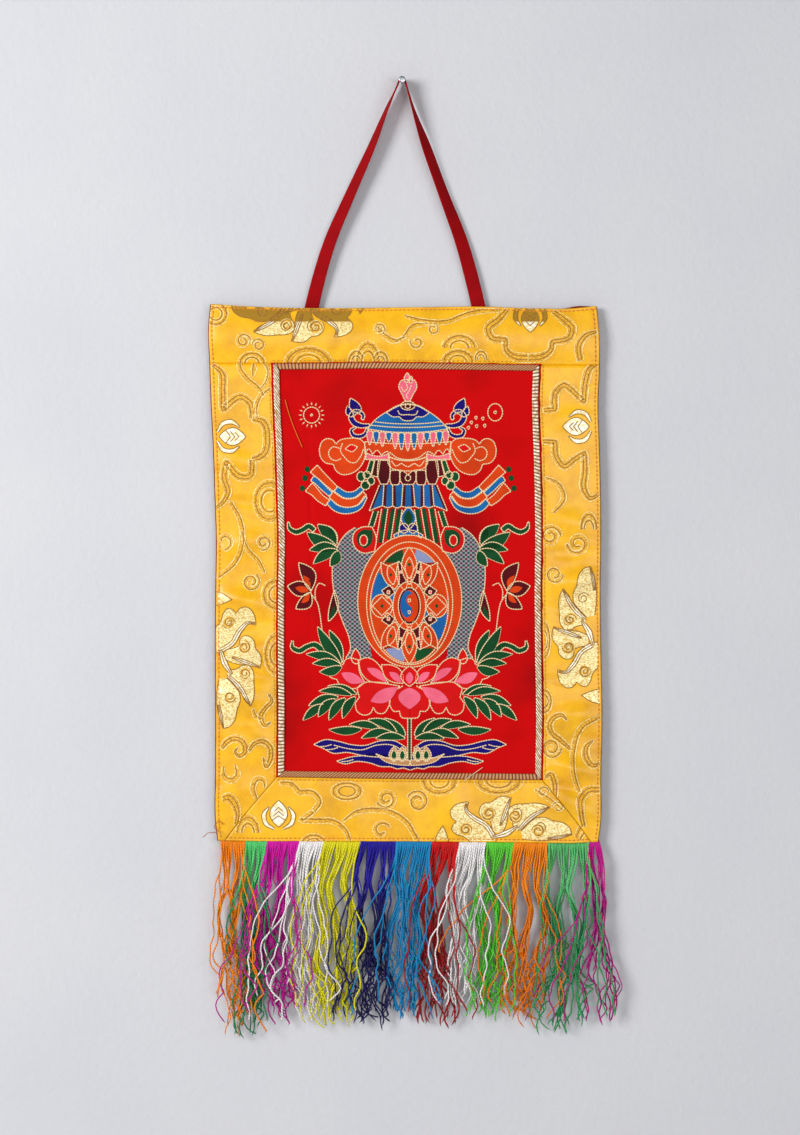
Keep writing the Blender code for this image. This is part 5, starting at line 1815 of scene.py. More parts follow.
Curl = namedtuple("Curl", "on x z outer start turns")
CURLS = [
    Curl("top", -69.0, -146.7, 3.6, 200, -1.4),
    Curl("top", -51.6, -148.0, 4.0, 340, 1.5),
    Curl("top", -95.0, -156.2, 4.6, 0, 1.3),
    Curl("top", -86.0, -158.6, 3.8, 180, -1.3),
    Curl("top", -13.6, -149.0, 3.8, 300, 1.3),
    Curl("top", 18.6, -149.0, 3.4, 90, -1.2),
    Curl("top", 9.0, -156.8, 4.4, 160, 1.0),
    Curl("left", -83.0, -277.0, 4.8, 250, 1.3),
    Curl("left", -90.5, -300.5, 5.2, 60, -1.4),
    Curl("left", -106.6, -276.0, 5.6, 270, 0.8),
    Curl("left", -103.6, -325.0, 3.6, 0, 1.4),
    Curl("left", -94.4, -339.6, 3.6, 90, -1.4),
    Curl("left", -94.4, -355.4, 3.4, 270, 1.4),
    Curl("left", -103.0, -369.4, 3.4, 0, -1.4),
    Curl("right", 89.0, -273.0, 6.4, 0, 1.4),
    Curl("right", 105.3, -277.6, 6.6, 180, 1.4),
    Curl("right", 91.4, -296.0, 5.0, 0, -1.3),
    Curl("right", 101.0, -323.0, 3.8, 0, 1.4),
    Curl("right", 99.7, -339.7, 3.8, 180, 1.4),
    Curl("right", 109.6, -354.0, 3.6, 0, -1.4),
    Curl("right", 89.6, -400.0, 5.8, 0, -1.4),
    Curl("bottom", -9.4, -430.6, 6.0, 200, 1.4),
    Curl("bottom", 9.4, -432.0, 6.2, 160, -1.4),
    Curl("bottom", -12.4, -449.6, 5.6, 20, 0.9),
    Curl("bottom", 38.2, -449.0, 3.8, 0, 1.5),
    Curl("bottom", 51.8, -439.4, 4.0, 180, 1.5),
    Curl("bottom", 67.9, -441.0, 3.8, 0, -1.5),
    Curl("bottom", 81.6, -449.8, 3.8, 180, -1.5),
    Curl("bottom", 84.6, -426.4, 3.6, 0, 1.0),
    Curl("bottom", 93.6, -435.6, 3.6, 180, -1.0),
]


class HANGING_OT_brocade(bpy.types.Operator):
    """Weaves the lotus sprays, clouds and vines into the four satin borders"""

    bl_idname = "hanging.brocade"
    bl_label = "Brocade figures"

    def execute(self, context):
        threads = {
            "band": gilt_weft("gilt weft, dull", "EFB426", "BC8410", 1.1, 0.0, 0.42),
            "leaf": gilt_weft("gilt weft, stippled", "FFF0B4", "D2A648", 1.1, 0.1, 0.3, HEADING_TURNS_AWAY),
            "vein": gilt_weft(
                "gilt weft, long floats", "FFFBEA", "F2DA96", 2.4, 0.1, 0.25, HEADING_TURNS_AWAY
            ),
        }
        outlines = {
            "light": gilt_weft("gilt edge thread", "FFE9A4", "E0B348", 1.2, 0.1, 0.3),
            "dark": gilt_weft("brown edge thread", "7C5210", "A87418", 1.2, 0.0, 0.6),
        }
        for name in ("top", "left", "right", "bottom"):
            self.border(name, threads, outlines)
        return {"FINISHED"}

    def border(self, name, threads, outlines):
        """All the figures of one border, cut where its seams cut them."""
        figures = Weaving(None)
        on_this = lambda rows: [row for row in rows if row.on == name]
        for placed in on_this(SPRAYS):
            self.spray(figures, placed)
        for placed in on_this(BUDS):
            self.bud(figures, placed)
        for cloud in on_this(CLOUDS):
            self.cloud(figures, cloud)
        for vine in on_this(VINES):
            self.vine(figures, path(vine.points), vine.widths)
        for curl in on_this(CURLS):
            line = spiral_line((curl.x, curl.z), curl.outer, curl.outer * 0.3, curl.start, curl.turns)
            self.vine(figures, line, [curl.outer * 0.3, curl.outer * 0.55, curl.outer * 0.4])
        place = on_border(name)
        figures.make(
            f"figures_{name}", place, threads.get, outlines, EDGE_WIDTHS, EDGE_PITCH
        )

    def spray(self, figures, placed):
        """Stippled lobes with a brown edge, long white veins and a curl in each lobe."""
        for outer, inner in SPRAY_LOBES:
            outer, inner = quarter_turned(path(outer), placed), quarter_turned(path(inner), placed)
            figures.fill("leaf", between(outer, inner), (), 1)
            for line in (outer, inner):
                figures.edge(line, 1, kind="dark")
        for widths, points in SPRAY_VEINS:
            line = quarter_turned(path(points), placed)
            first, second = beside(line, widths)
            figures.fill("vein", between(first, second), (), 4)
            for edge in (first, second, line):
                figures.edge(edge, 4, kind="dark")
        for x, z, outer in SPRAY_CURLS:
            curl = spiral_line((x, z), outer, outer * 0.25, 200, 1.5)
            figures.edge(quarter_turned(curl, placed), 2, kind="dark")

    def bud(self, figures, placed):
        """A bright pointed petal with chevrons across it, between two thinner ones."""
        first, second = blade_edges((1.2, 0.0), (17.2, 0.0), 10.6, 0, 1.0)
        first, second = quarter_turned(first, placed), quarter_turned(second, placed)
        figures.fill("vein", between(first, second), (), 2)
        for line in (first, second):
            figures.edge(line, 2, kind="dark")
        for along in (5.4, 8.0, 10.6):
            reach = 3.8 - (along - 5.4) * 0.25
            chevron = path([(along, -reach), (along + 2.6, 0), (along + 2.6, 0), (along, reach)])
            figures.edge(quarter_turned(chevron, placed), 3, kind="dark")
        for side in (-1, 1):
            petal = path([(0.2, 2.8 * side), (3.6, 7.8 * side), (8.6, 8.8 * side), (13.4, 5.8 * side)])
            first, second = beside(quarter_turned(petal, placed), [1.0, 2.4, 2.6, 0.6])
            figures.fill("vein", between(first, second), (), 2)
            for line in (first, second):
                figures.edge(line, 2, kind="dark")

    def cloud(self, figures, cloud):
        """A broad ring between two light lines, with a dark one inside it."""
        centre = (cloud.x, cloud.z)
        arc = lambda share: oval_line(
            centre, cloud.across * share, cloud.up * share, cloud.start, cloud.end
        )
        figures.oval(
            "band", centre, cloud.across, cloud.up, 0, start=cloud.start, end=cloud.end, hole=0.62,
            edged=False,
        )
        for share, kind in ((1.0, "light"), (0.84, "dark"), (0.62, "light"), (0.5, "dark"), (0.4, "light")):
            if cloud.up * share > 2.4:
                figures.edge(arc(share), 0, kind=kind)

    def vine(self, figures, line, widths):
        """A band with light edges and a dark line a little off its middle."""
        first, second = beside(line, widths)
        figures.fill("band", between(first, second), (), 2)
        ends = [resampled(np.stack([first[i], second[i]]), 5) for i in (0, -1)]
        for edge in (first, second, *ends):
            figures.edge(edge, 2, kind="light")
        figures.edge(line * 0.6 + first * 0.4, 2, kind="dark")
        if max(widths) > 4:
            figures.edge(line * 0.6 + second * 0.4, 2, kind="dark")


# Stitches


def sewing_thread(name, colour):
    """Polyester sewing thread, three-ply: a tight gloss, with painted shade in the grooves of its twist."""
    made, tree, shader = new_material("sewing thread, " + name, 0.4, 0.0, 0.4)
    uv = thread_place(tree)
    ply = node(
        tree, "ShaderNodeTexWave", {"Vector": turned(tree, uv, 40), "Scale": band_scale(0.8)}
    ).outputs["Fac"]
    # Painted shade in the twist: a darker copy of the colour, laid in along the ply's slanting bands
    deep = node(tree, "ShaderNodeHueSaturation", {"Value": 0.62, "Color": colour}).outputs[0]
    tree.links.new(mixed(tree, ply, colour, deep), shader.inputs["Base Color"])
    return made


def stitched(lines, width, length):
    """Running stitches along lines: each rises from the cloth, lies flat and dives in again."""
    made = []
    for line in lines:
        whole = run_along(line)[-1]
        line = resampled(line, math.ceil(whole / (length / 8)) + 1)
        run = run_along(line)
        arch = np.abs(np.sin(math.pi * run / length)) ** 0.5
        offsets = np.array([-0.5, -0.3, 0.0, 0.3, 0.5]) * width
        across = offsets[None, :] * (0.4 + 0.6 * arch[:, None])
        grid = line[:, None] + sideways(line)[:, None] * across[..., None]
        lift = 0.85 * arch[:, None] - 0.42 + np.array([-0.2, 0.03, 0.1, 0.03, -0.2])[None, :]
        made.append((grid, lift, np.stack(np.broadcast_arrays(run[:, None], offsets[None, :]), axis=-1)))
    return made


# Loose ends of thread: two on the panel, by emblem place and by how far they rise off it, and one in a
# small loop at the lower left corner, by its place
ORANGE_END = [(-73.2, 122.8, 0), (-71.0, 115.0, 0), (-67.5, 105.1, 0), (-62.5, 93.4, 0)]
CREAM_END = [(45.5, -97.7, 0), (42.0, -100.2, 0.3), (37.0, -103.6, 1.6), (34.0, -106.2, 1.9)]
BROWN_END = [
    (-106.8, -7.0, -446.0), (-109.6, -8.6, -443.8), (-112.4, -8.4, -447.4), (-109.8, -8.8, -449.6),
    (-111.6, -8.4, -450.6), (-116.0, -7.0, -451.0), (-119.6, -5.4, -454.0),
]
# How far a loose end's middle lies above the panel's face
LOOSE_LIFT = 0.9


def lying_on_panel(end):
    """Places of a loose end that lies on the panel or rises from it."""
    x, y, rise = np.array(end, float).T
    points = on_panel(x, y, LOOSE_LIFT)[0]
    points[:, 1] -= rise
    return points


class HANGING_OT_stitches(bpy.types.Operator):
    """Sews the stitching of edges and seams, and lays down three loose ends of thread"""

    bl_idname = "hanging.stitches"
    bl_label = "Top stitching"

    def execute(self, context):
        left, right, foot = BODY_LEFT_X, BODY_RIGHT_X, BODY_HEIGHT
        inner_left, inner_right = left + LEFT_BORDER, right - RIGHT_BORDER
        inner_foot = foot - BOTTOM_BORDER
        left_row, right_row, foot_row = left + EDGE_STITCH, right - EDGE_STITCH, foot - EDGE_STITCH
        # At the right end of the heading the row runs further in
        heading_row = right - EDGE_STITCH - 0.5
        edges = {
            "top": [
                ((left, HEADING_STITCH), (right, HEADING_STITCH)),
                ((left_row, 1), (left_row, TOP_BORDER)),
                ((heading_row, 1), (heading_row, TOP_BORDER)),
            ],
            "left": [((left_row, TOP_BORDER), (left_row, foot - 2))],
            "right": [((right_row, TOP_BORDER), (right_row, foot - 2))],
            "bottom": [((left + 4, foot_row), (right - 4, foot_row))],
        }
        top_seam, foot_seam = TOP_BORDER - SEAM_STITCH, inner_foot + SEAM_STITCH
        left_seam, right_seam = inner_left - SEAM_STITCH, inner_right + SEAM_STITCH
        seams = {
            "top": [((inner_left, top_seam), (inner_right, top_seam))],
            "left": [((left_seam, TOP_BORDER), (left_seam, inner_foot))],
            "right": [((right_seam, TOP_BORDER), (right_seam, inner_foot))],
            "bottom": [((inner_left, foot_seam), (inner_right, foot_seam))],
        }
        orange = sewing_thread("orange", colours().stitch)
        yellow = sewing_thread("yellow", colours().seam_stitch)
        length = sizes().stitch_length / MM
        for name in edges:
            self.sew(f"stitches_{name}_edge", name, edges[name], orange, length)
            self.sew(f"stitches_{name}_seam", name, seams[name], yellow, length)
        cream = sewing_thread("cream", linear("E8D8B0"))
        brown = sewing_thread("red-brown", linear("B0541C"))
        self.loose("loose_thread_orange", lying_on_panel(ORANGE_END), orange, "red_brocade")
        self.loose("loose_thread_cream", lying_on_panel(CREAM_END), cream, "red_brocade")
        self.loose("loose_thread_brown", np.array(BROWN_END), brown, "yellow_brocade")
        return {"FINISHED"}

    def loose(self, piece_name, points, material, slot_name):
        """A loose end of sewing thread through a few points."""
        knots = np.arange(len(points), dtype=float)
        run = np.linspace(0, len(points) - 1, 8 * len(points))
        line = np.column_stack([smooth(run, knots, points[:, axis]) for axis in range(3)])
        outwards(mesh_piece(piece_name, [tube(line, 0.22, 6)], material))

    def sew(self, piece_name, border, rows, material, length):
        """The rows of one colour on one border; a row is given by x and drop in the flat cut."""
        lines = [path([(start[0], -start[1]), (end[0], -end[1])]) for start, end in rows]
        grids, lifts, uvs = zip(*stitched(lines, STITCH_WIDTH, length))
        woven_piece(
            piece_name, grids, lifts, uvs, on_border(border, seen=False), material
        )


# Braid


def braid_twill(name, light, dark):
    """Flat metallic braid: bright and red-brown threads in a steep twill with a dull glitter.

    The twill lines are about 1.2 mm apart in the real braid, and are drawn a little wider.
    """
    made, tree, shader = new_material("metallic twill braid, " + name, 0.4, 0.3)
    uv = thread_place(tree)
    split = node(tree, "ShaderNodeSeparateXYZ", {0: uv}).outputs
    slant = node(
        tree, "ShaderNodeMath", {0: split[1], 1: TWILL_SLANT, 2: split[0]}, operation="MULTIPLY_ADD"
    ).outputs[0]
    wave = sine_along(tree, slant, TWILL_PITCH)
    share = node(tree, "ShaderNodeMapRange", {"Value": wave, 1: -0.1, 2: 0.5}).outputs[0]
    noise = node(tree, "ShaderNodeTexNoise", {"Vector": uv, "Scale": 420.0, "Detail": 2.0}).outputs["Fac"]
    glint = node(tree, "ShaderNodeMapRange", {"Value": noise, 1: 0.4, 2: 0.65}).outputs[0]
    blotches = mixed(tree, glint, linear(light), linear("B8925E"))
    tree.links.new(mixed(tree, share, blotches, linear(dark)), shader.inputs["Base Color"])
    return made


class HANGING_OT_braids(bpy.types.Operator):
    """Makes the four lengths of braid on the panel's edges"""

    bl_idname = "hanging.braids"
    bl_label = "Braids"

    def execute(self, context):
        left = BODY_LEFT_X + LEFT_BORDER + PANEL_SHOWS_OUTSIDE_BRAID
        right = BODY_RIGHT_X - RIGHT_BORDER - PANEL_SHOWS_OUTSIDE_BRAID
        top = TOP_BORDER + 0.3
        bottom = BODY_HEIGHT - BOTTOM_BORDER - 0.3
        runs = {
            "braid_left": ((left, bottom), (left, top), (1, -1), (1, 1)),
            "braid_right": ((right, top), (right, bottom), (-1, 1), (-1, -1)),
            "braid_top": ((left, top), (right, top), (1, 1), (-1, 1)),
            "braid_bottom": ((right, bottom), (left, bottom), (-1, -1), (1, -1)),
        }
        # The lengths across the top and the foot are the same braid, given darker colours as painted shade
        bright = braid_twill("sides", "F4EAD2", "7C5232")
        dull = braid_twill("ends", "C08450", "6E2C18")
        for name, run in runs.items():
            self.braid(name, run, bright if name in ("braid_left", "braid_right") else dull)
        return {"FINISHED"}

    def braid(self, name, run, material):
        """A mitred strip: its face swells between two thin edges, ribbed across by its twill."""
        start, end, start_in, end_in = (np.array(part, float) for part in run)
        length = np.linalg.norm(end - start)
        share = np.linspace(0.001, 0.999, round(length / 0.3))[:, None, None]
        shares = np.array([0, 0.05, 0.14, 0.27, 0.42, 0.58, 0.73, 0.86, 0.95, 1.0])
        inward = BRAID_WIDTH * shares[None, :, None]
        near = start + start_in * inward
        far = end + end_in * inward
        place = near + share * (far - near)
        along = (share * length)[..., 0] + 0 * inward[..., 0]
        across = inward[..., 0] + 0 * share[..., 0]
        rib = -np.sin(2 * math.pi * (along + TWILL_SLANT * across) / TWILL_PITCH)
        edge = np.clip(np.minimum(across, BRAID_WIDTH - across) / 0.45, 0, 1)
        height = BRAID_FRONT - 0.55 + 0.45 * np.sqrt(edge) + 0.12 * rib * edge
        points = hang(place[..., 0], place[..., 1], height)
        uv = np.stack([along, across], axis=-1)
        patch = patch_of(points, uv)
        piece = mesh_piece(name + "_tape", [patch], material, (name,), weld=False)
        thicken(piece, BRAID_THICKNESS)


# Ribbon


def ribbon_cotton():
    """Folded red cotton tape, plain woven: matt, with fine cross ribs and darker clouds."""
    made, tree, shader = new_material("red cotton tape", 0.85, 0.0, 0.12)
    uv = thread_place(tree)
    bands = {"Vector": uv, "Scale": band_scale(1.1), "Distortion": 0.8}
    ribs = node(tree, "ShaderNodeTexWave", bands, bands_direction="X").outputs["Fac"]
    cloud = node(tree, "ShaderNodeTexNoise", {"Vector": uv, "Scale": 90.0, "Detail": 4.0}).outputs["Fac"]
    base = mixed(tree, cloud, colours().ribbon, linear("780005"))
    tree.links.new(base, shader.inputs["Base Color"])
    bumped(tree, shader, ribs, 0.45, 0.09)
    return made


def ribbon_leg(side, steps=90):
    """One leg from the nail down to its sewn end: rows of x, y, z and turn in degrees."""
    falls = column(LEG_ROWS, "fall")
    fall = np.linspace(falls[0], falls[-1], steps)
    x = smooth(fall, falls, column(LEG_ROWS, side))
    turn = smooth(fall, falls, column(LEG_ROWS, side + "_turn"))
    down = np.clip(fall / -BODY_TOP_Z, 0, 1)
    height = RIBBON_AT_NAIL_HEIGHT + down * (RIBBON_END_HEIGHT - RIBBON_AT_NAIL_HEIGHT)
    behind = swell(across_of(x), np.clip(fall + BODY_TOP_Z, 0, None))
    height = height + behind * smooth(fall, (0, 100, 134, 152), (0, 0, 1, 1))
    return np.column_stack([x, -height, -fall, np.clip(turn, 0, 90)])


class HANGING_OT_ribbon(bpy.types.Operator):
    """Makes the hanging ribbon, edge-on at the nail and face-on at the cloth"""

    bl_idname = "hanging.ribbon"
    bl_label = "Hanging ribbon"

    def execute(self, context):
        line = self.line()
        points = line[:, :3]
        turn = np.radians(line[:, 3])[:, None]
        along = np.gradient(points, axis=0)
        along /= np.linalg.norm(along, axis=1)[:, None]
        face_on = np.cross(along, (0.0, -1.0, 0.0))
        face_on /= np.linalg.norm(face_on, axis=1)[:, None]
        edge_on = np.cross(face_on, along)
        width = face_on * np.cos(turn) + edge_on * np.sin(turn)
        normal = np.cross(along, width)
        run = run_along(points)
        # Round the tape's section: two slightly crowned faces that meet in soft folded edges
        turns = np.radians(np.arange(0, 360, 18))
        side = np.sign(np.cos(turns)) * np.abs(np.cos(turns)) ** 0.35
        out = np.sign(np.sin(turns)) * np.abs(np.sin(turns)) ** 0.7
        across = side[None, :, None] * RIBBON_WIDTH / 2
        crown = 1 + 0.12 * np.sin(run / 2.3)[:, None, None] * np.sin(run / 7.1)[:, None, None]
        proud = out[None, :, None] * RIBBON_THICKNESS / 2 * crown
        section = points[:, None, :] + width[:, None, :] * across + normal[:, None, :] * proud
        section = np.concatenate([section, section[:, :1]], axis=1)
        # Each end closes in its own middle
        first, last = (np.broadcast_to(section[i].mean(axis=0), (1, *section.shape[1:])) for i in (0, -1))
        section = np.concatenate([first, section, last])
        run = np.concatenate([run[:1], run, run[-1:]])
        widths = np.append(side, side[0]) * RIBBON_WIDTH / 2
        uv = np.stack(np.broadcast_arrays(run[:, None], widths[None, :]), axis=-1)
        patch = patch_of(section, uv, None)
        outwards(
            mesh_piece("hanging_ribbon_tape", [patch], ribbon_cotton(), ("hanging_ribbon",))
        )
        return {"FINISHED"}

    def line(self):
        """The middle line: up the left leg, round the nail, down the right leg."""
        bend_radius = NAIL_RADIUS + 0.3 + RIBBON_THICKNESS / 2
        angles = np.radians(np.linspace(165, 15, 19))
        height, turn = np.full_like(angles, -RIBBON_AT_NAIL_HEIGHT), np.full_like(angles, 90.0)
        bend = np.column_stack([bend_radius * np.cos(angles), height, bend_radius * np.sin(angles), turn])
        return np.vstack([ribbon_leg("left")[::-1], bend, ribbon_leg("right")])


def outwards(piece):
    """Turns a closed mesh's faces to the outside, after its doubles are merged."""
    shape = bmesh.new()
    shape.from_mesh(piece.data)
    bmesh.ops.remove_doubles(shape, verts=shape.verts, dist=VERTEX_WELD)
    bmesh.ops.recalc_face_normals(shape, faces=shape.faces)
    shape.to_mesh(piece.data)
    shape.free()


# Nail


def nail_steel():
    """Bright drawn steel wire, lightly brushed by the die, with a stamped head."""
    made, tree, shader = new_material("bright drawn steel", 0.28, 1.0)
    place = object_place(tree)
    stretched = node(tree, "ShaderNodeMapping", {"Vector": place, "Scale": (1.0, 0.08, 1.0)}).outputs[0]
    noise = node(
        tree, "ShaderNodeTexNoise", {"Vector": stretched, "Scale": 2500.0, "Detail": 3.0}
    ).outputs["Fac"]
    tree.links.new(mixed(tree, noise, colours().steel, linear("9EA4AA")), shader.inputs["Base Color"])
    bumped(tree, shader, noise, 0.25, 0.03)
    return made


class HANGING_OT_nail(bpy.types.Operator):
    """Makes the wire nail with its stamped head and point"""

    bl_idname = "hanging.nail"
    bl_label = "Nail"

    def execute(self, context):
        """A profile turned about the nail's axis; grip rings under the head, and a cone for its point."""
        face, neck = NAIL_STANDS_OUT, NAIL_STANDS_OUT - NAIL_HEAD_THICKNESS
        tip = NAIL_STANDS_OUT - NAIL_LENGTH
        rings = []
        for ring in range(4):
            start = neck - 0.6 - ring * 0.7
            rings += [(NAIL_RADIUS, start), (NAIL_RADIUS * 0.93, start - 0.2), (NAIL_RADIUS, start - 0.4)]
        profile = [
            (0.0, face),
            (NAIL_HEAD_RADIUS * 0.5, face - 0.02),
            (NAIL_HEAD_RADIUS * 0.86, face - 0.07),
            (NAIL_HEAD_RADIUS * 0.96, face - 0.16),
            (NAIL_HEAD_RADIUS, face - 0.32),
            (NAIL_HEAD_RADIUS, neck + 0.2),
            (NAIL_HEAD_RADIUS * 0.95, neck + 0.06),
            (NAIL_HEAD_RADIUS * 0.8, neck),
            (NAIL_RADIUS * 1.15, neck - 0.1),
            *rings,
            (NAIL_RADIUS, tip + NAIL_POINT_LENGTH),
            (0.0, tip),
        ]
        radius, height = np.array(profile).T
        turns = np.linspace(0, 2 * math.pi, 41)
        x = radius[:, None] * np.cos(turns)[None, :]
        z = radius[:, None] * np.sin(turns)[None, :]
        y = -height[:, None] + 0 * x
        points = np.stack([x, y, z], axis=-1)
        uv = np.stack([0 * x + turns[None, :] * NAIL_RADIUS, y], axis=-1)
        piece = mesh_piece(
            "nail_turned", [patch_of(points, uv, None)], nail_steel(), ("nail",)
        )
        outwards(piece)
        mark = piece.modifiers.new("Sharp rims", "EDGE_SPLIT")
        mark.split_angle = math.radians(50)
        return {"FINISHED"}


# Fringe


def fringe_thread(name, upper, lower):
    """Twisted rayon thread: a soft gloss, a rope-like twist with painted shade in its grooves, and a colour
    that shifts downwards.

    Each thread's UV lies apart from the others, so the noise gives each one its own shade.
    """
    made, tree, shader = new_material("rayon fringe thread " + name, 0.42, 0.0, 0.3)
    uv = thread_place(tree)
    split = node(tree, "ShaderNodeSeparateXYZ", {0: uv}).outputs
    slant = node(
        tree, "ShaderNodeMath", {0: split[1], 1: 0.6, 2: split[0]}, operation="MULTIPLY_ADD"
    ).outputs[0]
    wave = sine_along(tree, slant, TWIST_PITCH)
    # Towards the ends the colour turns to the lower one, which in several blocks is darker: painted shade of
    # the twisted ends
    fallen = node(tree, "ShaderNodeMapRange", {"Value": split[0], 1: 0.024, 2: 0.045}).outputs[0]
    base = mixed(tree, fallen, linear(upper), linear(lower))
    noise = node(tree, "ShaderNodeTexNoise", {"Vector": uv, "Scale": 150.0, "Detail": 1.0}).outputs["Fac"]
    blotches = node(tree, "ShaderNodeMapRange", {"Value": noise, 1: 0.42, 2: 0.72, 4: 0.45}).outputs[0]
    deep = node(tree, "ShaderNodeHueSaturation", {"Value": 0.6, "Color": base}).outputs[0]
    strand = mixed(tree, blotches, base, deep)
    # Painted shade in the grooves of the twist: there the colour is darkened to 0.3 of its value
    groove = node(tree, "ShaderNodeMapRange", {"Value": wave, 1: -1.0, 2: 0.2, 3: 0.6, 4: 0.0}).outputs[0]
    dark = node(tree, "ShaderNodeHueSaturation", {"Value": 0.3, "Color": base}).outputs[0]
    tree.links.new(mixed(tree, groove, strand, dark), shader.inputs["Base Color"])
    bumped(tree, shader, wave, 0.5, 0.2)
    return made


def eased(share):
    """A share from 0 to 1 that starts and ends gently."""
    share = np.clip(share, 0, 1)
    return share * share * (3 - 2 * share)


def tube(line, radius, sides):
    """A round thread along a line of points, closed to a tip at both ends; UV runs along it."""
    along = np.gradient(line, axis=0)
    along /= np.linalg.norm(along, axis=1)[:, None]
    first = np.cross(along, (0.31, -0.93, 0.2))
    first /= np.linalg.norm(first, axis=1)[:, None]
    second = np.cross(along, first)
    turns = np.linspace(0, 2 * math.pi, sides + 1)
    ring = first[:, None] * np.cos(turns)[:, None] + second[:, None] * np.sin(turns)[:, None]
    run = run_along(line)
    thick = np.broadcast_to(np.asarray(radius, float), (len(line),)).copy()
    thick[[0, -1]] = 0.0
    points = line[:, None, :] + ring * thick[:, None, None]
    uv = np.stack(np.broadcast_arrays(run[:, None], turns[None, :] * float(thick.max())), axis=-1)
    rows, columns = points.shape[:2]
    return points.reshape(-1, 3), grid_faces(rows, columns), uv.reshape(-1, 2)


def hem_place(x, height, below):
    """Places at a distance below the hem, at these x and this height above the wall."""
    place = hang(x, BODY_HEIGHT, height)
    return np.stack([x, place[..., 1], place[..., 2] - below], axis=-1)


class HANGING_OT_fringe(bpy.types.Operator):
    """Makes the thirteen blocks of twisted thread below the hem"""

    bl_idname = "hanging.fringe"
    bl_label = "Fringe"

    def execute(self, context):
        for number in range(len(BLOCKS) - 1):
            self.block(number)
        return {"FINISHED"}

    def block(self, number):
        """Threads that gather into locks, part again lower down, and tangle near their ends."""
        block = BLOCKS[number]
        random = np.random.default_rng(sizes().fringe_seed + number)
        layers = EVEN_LAYERS if number % 2 else ODD_LAYERS
        radius = sizes().strand_radius / MM
        places = [((index + 0.5) / block.strands, None) for index in range(block.strands)]
        places += [(np.clip(goal, 0.04, 0.96), goal) for goal in WANDERERS[block.name]]
        sways = random.uniform(0, 2 * math.pi, (block.locks, 2))
        threads = []
        for index, (place, goal) in enumerate(places):
            length = random.uniform(block.shortest, block.longest)
            length *= SHORT_LENGTH if random.uniform() < SHORT_SHARE else 1.0
            if goal is None:
                layer = layers[index % 2] + random.uniform(-0.9, 0.9)
                sway = sways[min(int(place * block.locks), block.locks - 1)]
            else:
                layer = random.uniform(*FRONT_LAYER)
                sway = random.uniform(0, 6.3, 2)
            line = self.strand(number, place, goal, sway, layer, length, random)
            points, faces, uv = tube(line, radius * random.uniform(0.75, 1.1), 5)
            threads.append((points, faces, uv + (0, 7 * index + 0.0035 * (index * 0.618 % 1))))
        name = f"fringe_{number + 1:02d}_{block.name}"
        material = fringe_thread(block.name.replace("_", " "), block.colour, block.lower_colour)
        outwards(mesh_piece(name + "_threads", threads, material, (name,)))

    def strand(self, number, place, goal, sway, layer, length, random):
        """A thread's middle line from behind the hem, as a share of the way across its block.

        The threads of one lock swing to and fro together, and each one waves a little by itself.
        """
        block = BLOCKS[number]
        levels = [[row.root, row.upper, row.lower, row.end] for row in (block, BLOCKS[number + 1])]
        fallen = np.linspace(0, length, 54)
        left, right = (smooth(fallen, FRINGE_FALLS, level) for level in levels)
        parting = eased((fallen / length - 0.45) / 0.4)
        if goal is None:
            lock = (math.floor(place * block.locks) + 0.5) / block.locks
            across = place + (lock - place) * 0.62 * eased(fallen / 30) * (1 - 0.8 * parting)
        else:
            across = place + (goal - place) * eased((fallen - 8) / random.uniform(40, 90))
        x = left + (right - left) * across
        loose = np.clip(fallen / FRINGE_FALLS[1], 0, 1) ** 1.2
        wave = sizes().strand_wave / MM * (0.7 + 1.1 * parting)
        x = x + 2.0 * loose * np.sin(2 * math.pi * fallen / 74 + sway[0])
        x = x + 0.9 * loose * np.sin(2 * math.pi * fallen / 37 + sway[1])
        for wavelength, size in ((71, 1.0), (29, 0.7), (12, 0.25)):
            phase = random.uniform(0, 2 * math.pi)
            x = x + loose * wave * size * np.sin(2 * math.pi * fallen / wavelength + phase)
        x = x + loose * np.cumsum(random.normal(0, 0.13, len(x)))
        # Curls near the end: round and round, some tight enough to loop
        reach = (5.2 if goal is None else 3.0) * block.tangle * parting * random.uniform(0.05, 1.0) ** 1.7
        turn = 2 * math.pi * fallen / random.uniform(17, 34) + random.uniform(0, 2 * math.pi)
        root = hem_place(x[:1], CLOTH_FRONT - 0.6, 0.0)[0]
        y = root[1] + eased(fallen / 16) * (-layer - root[1]) + loose * 0.35 * np.sin(fallen / 3 + turn[0])
        y = y + 0.5 * reach * np.sin(0.7 * turn)
        z = root[2] + 1.2 - fallen + 0.8 * reach * np.sin(turn)
        return np.column_stack([x + reach * np.cos(turn), np.minimum(y, -1.2), z])


# Stage

# How far the wall's face lies behind the frame's plane, and where the floor lies, in metres
WALL_BEHIND, FLOOR_LEVEL = 0.0006, -1.0
# Where the camera looks, level and straight at the wall, and how much height fills its frame, in metres
LOOKS_AT_X, LOOKS_AT_Z, SEEN_HEIGHT, LENS_IN_FRONT = -0.0012, -0.2919, 0.681, 0.0056
# The height that the soft boxes face; then their places and side lengths in metres, and their power
LIT_MIDDLE_Z = -0.3
Lamp = namedtuple("Lamp", "name place size power")
LAMPS = [
    Lamp("key_soft_box", (-1.25, -1.3, 0.15), 0.7, 28.0),
    Lamp("fill_soft_box", (1.2, -1.9, -0.5), 1.4, 13.0),
    Lamp("front_soft_box", (0.2, -1.8, -0.1), 0.8, 5.0),
]


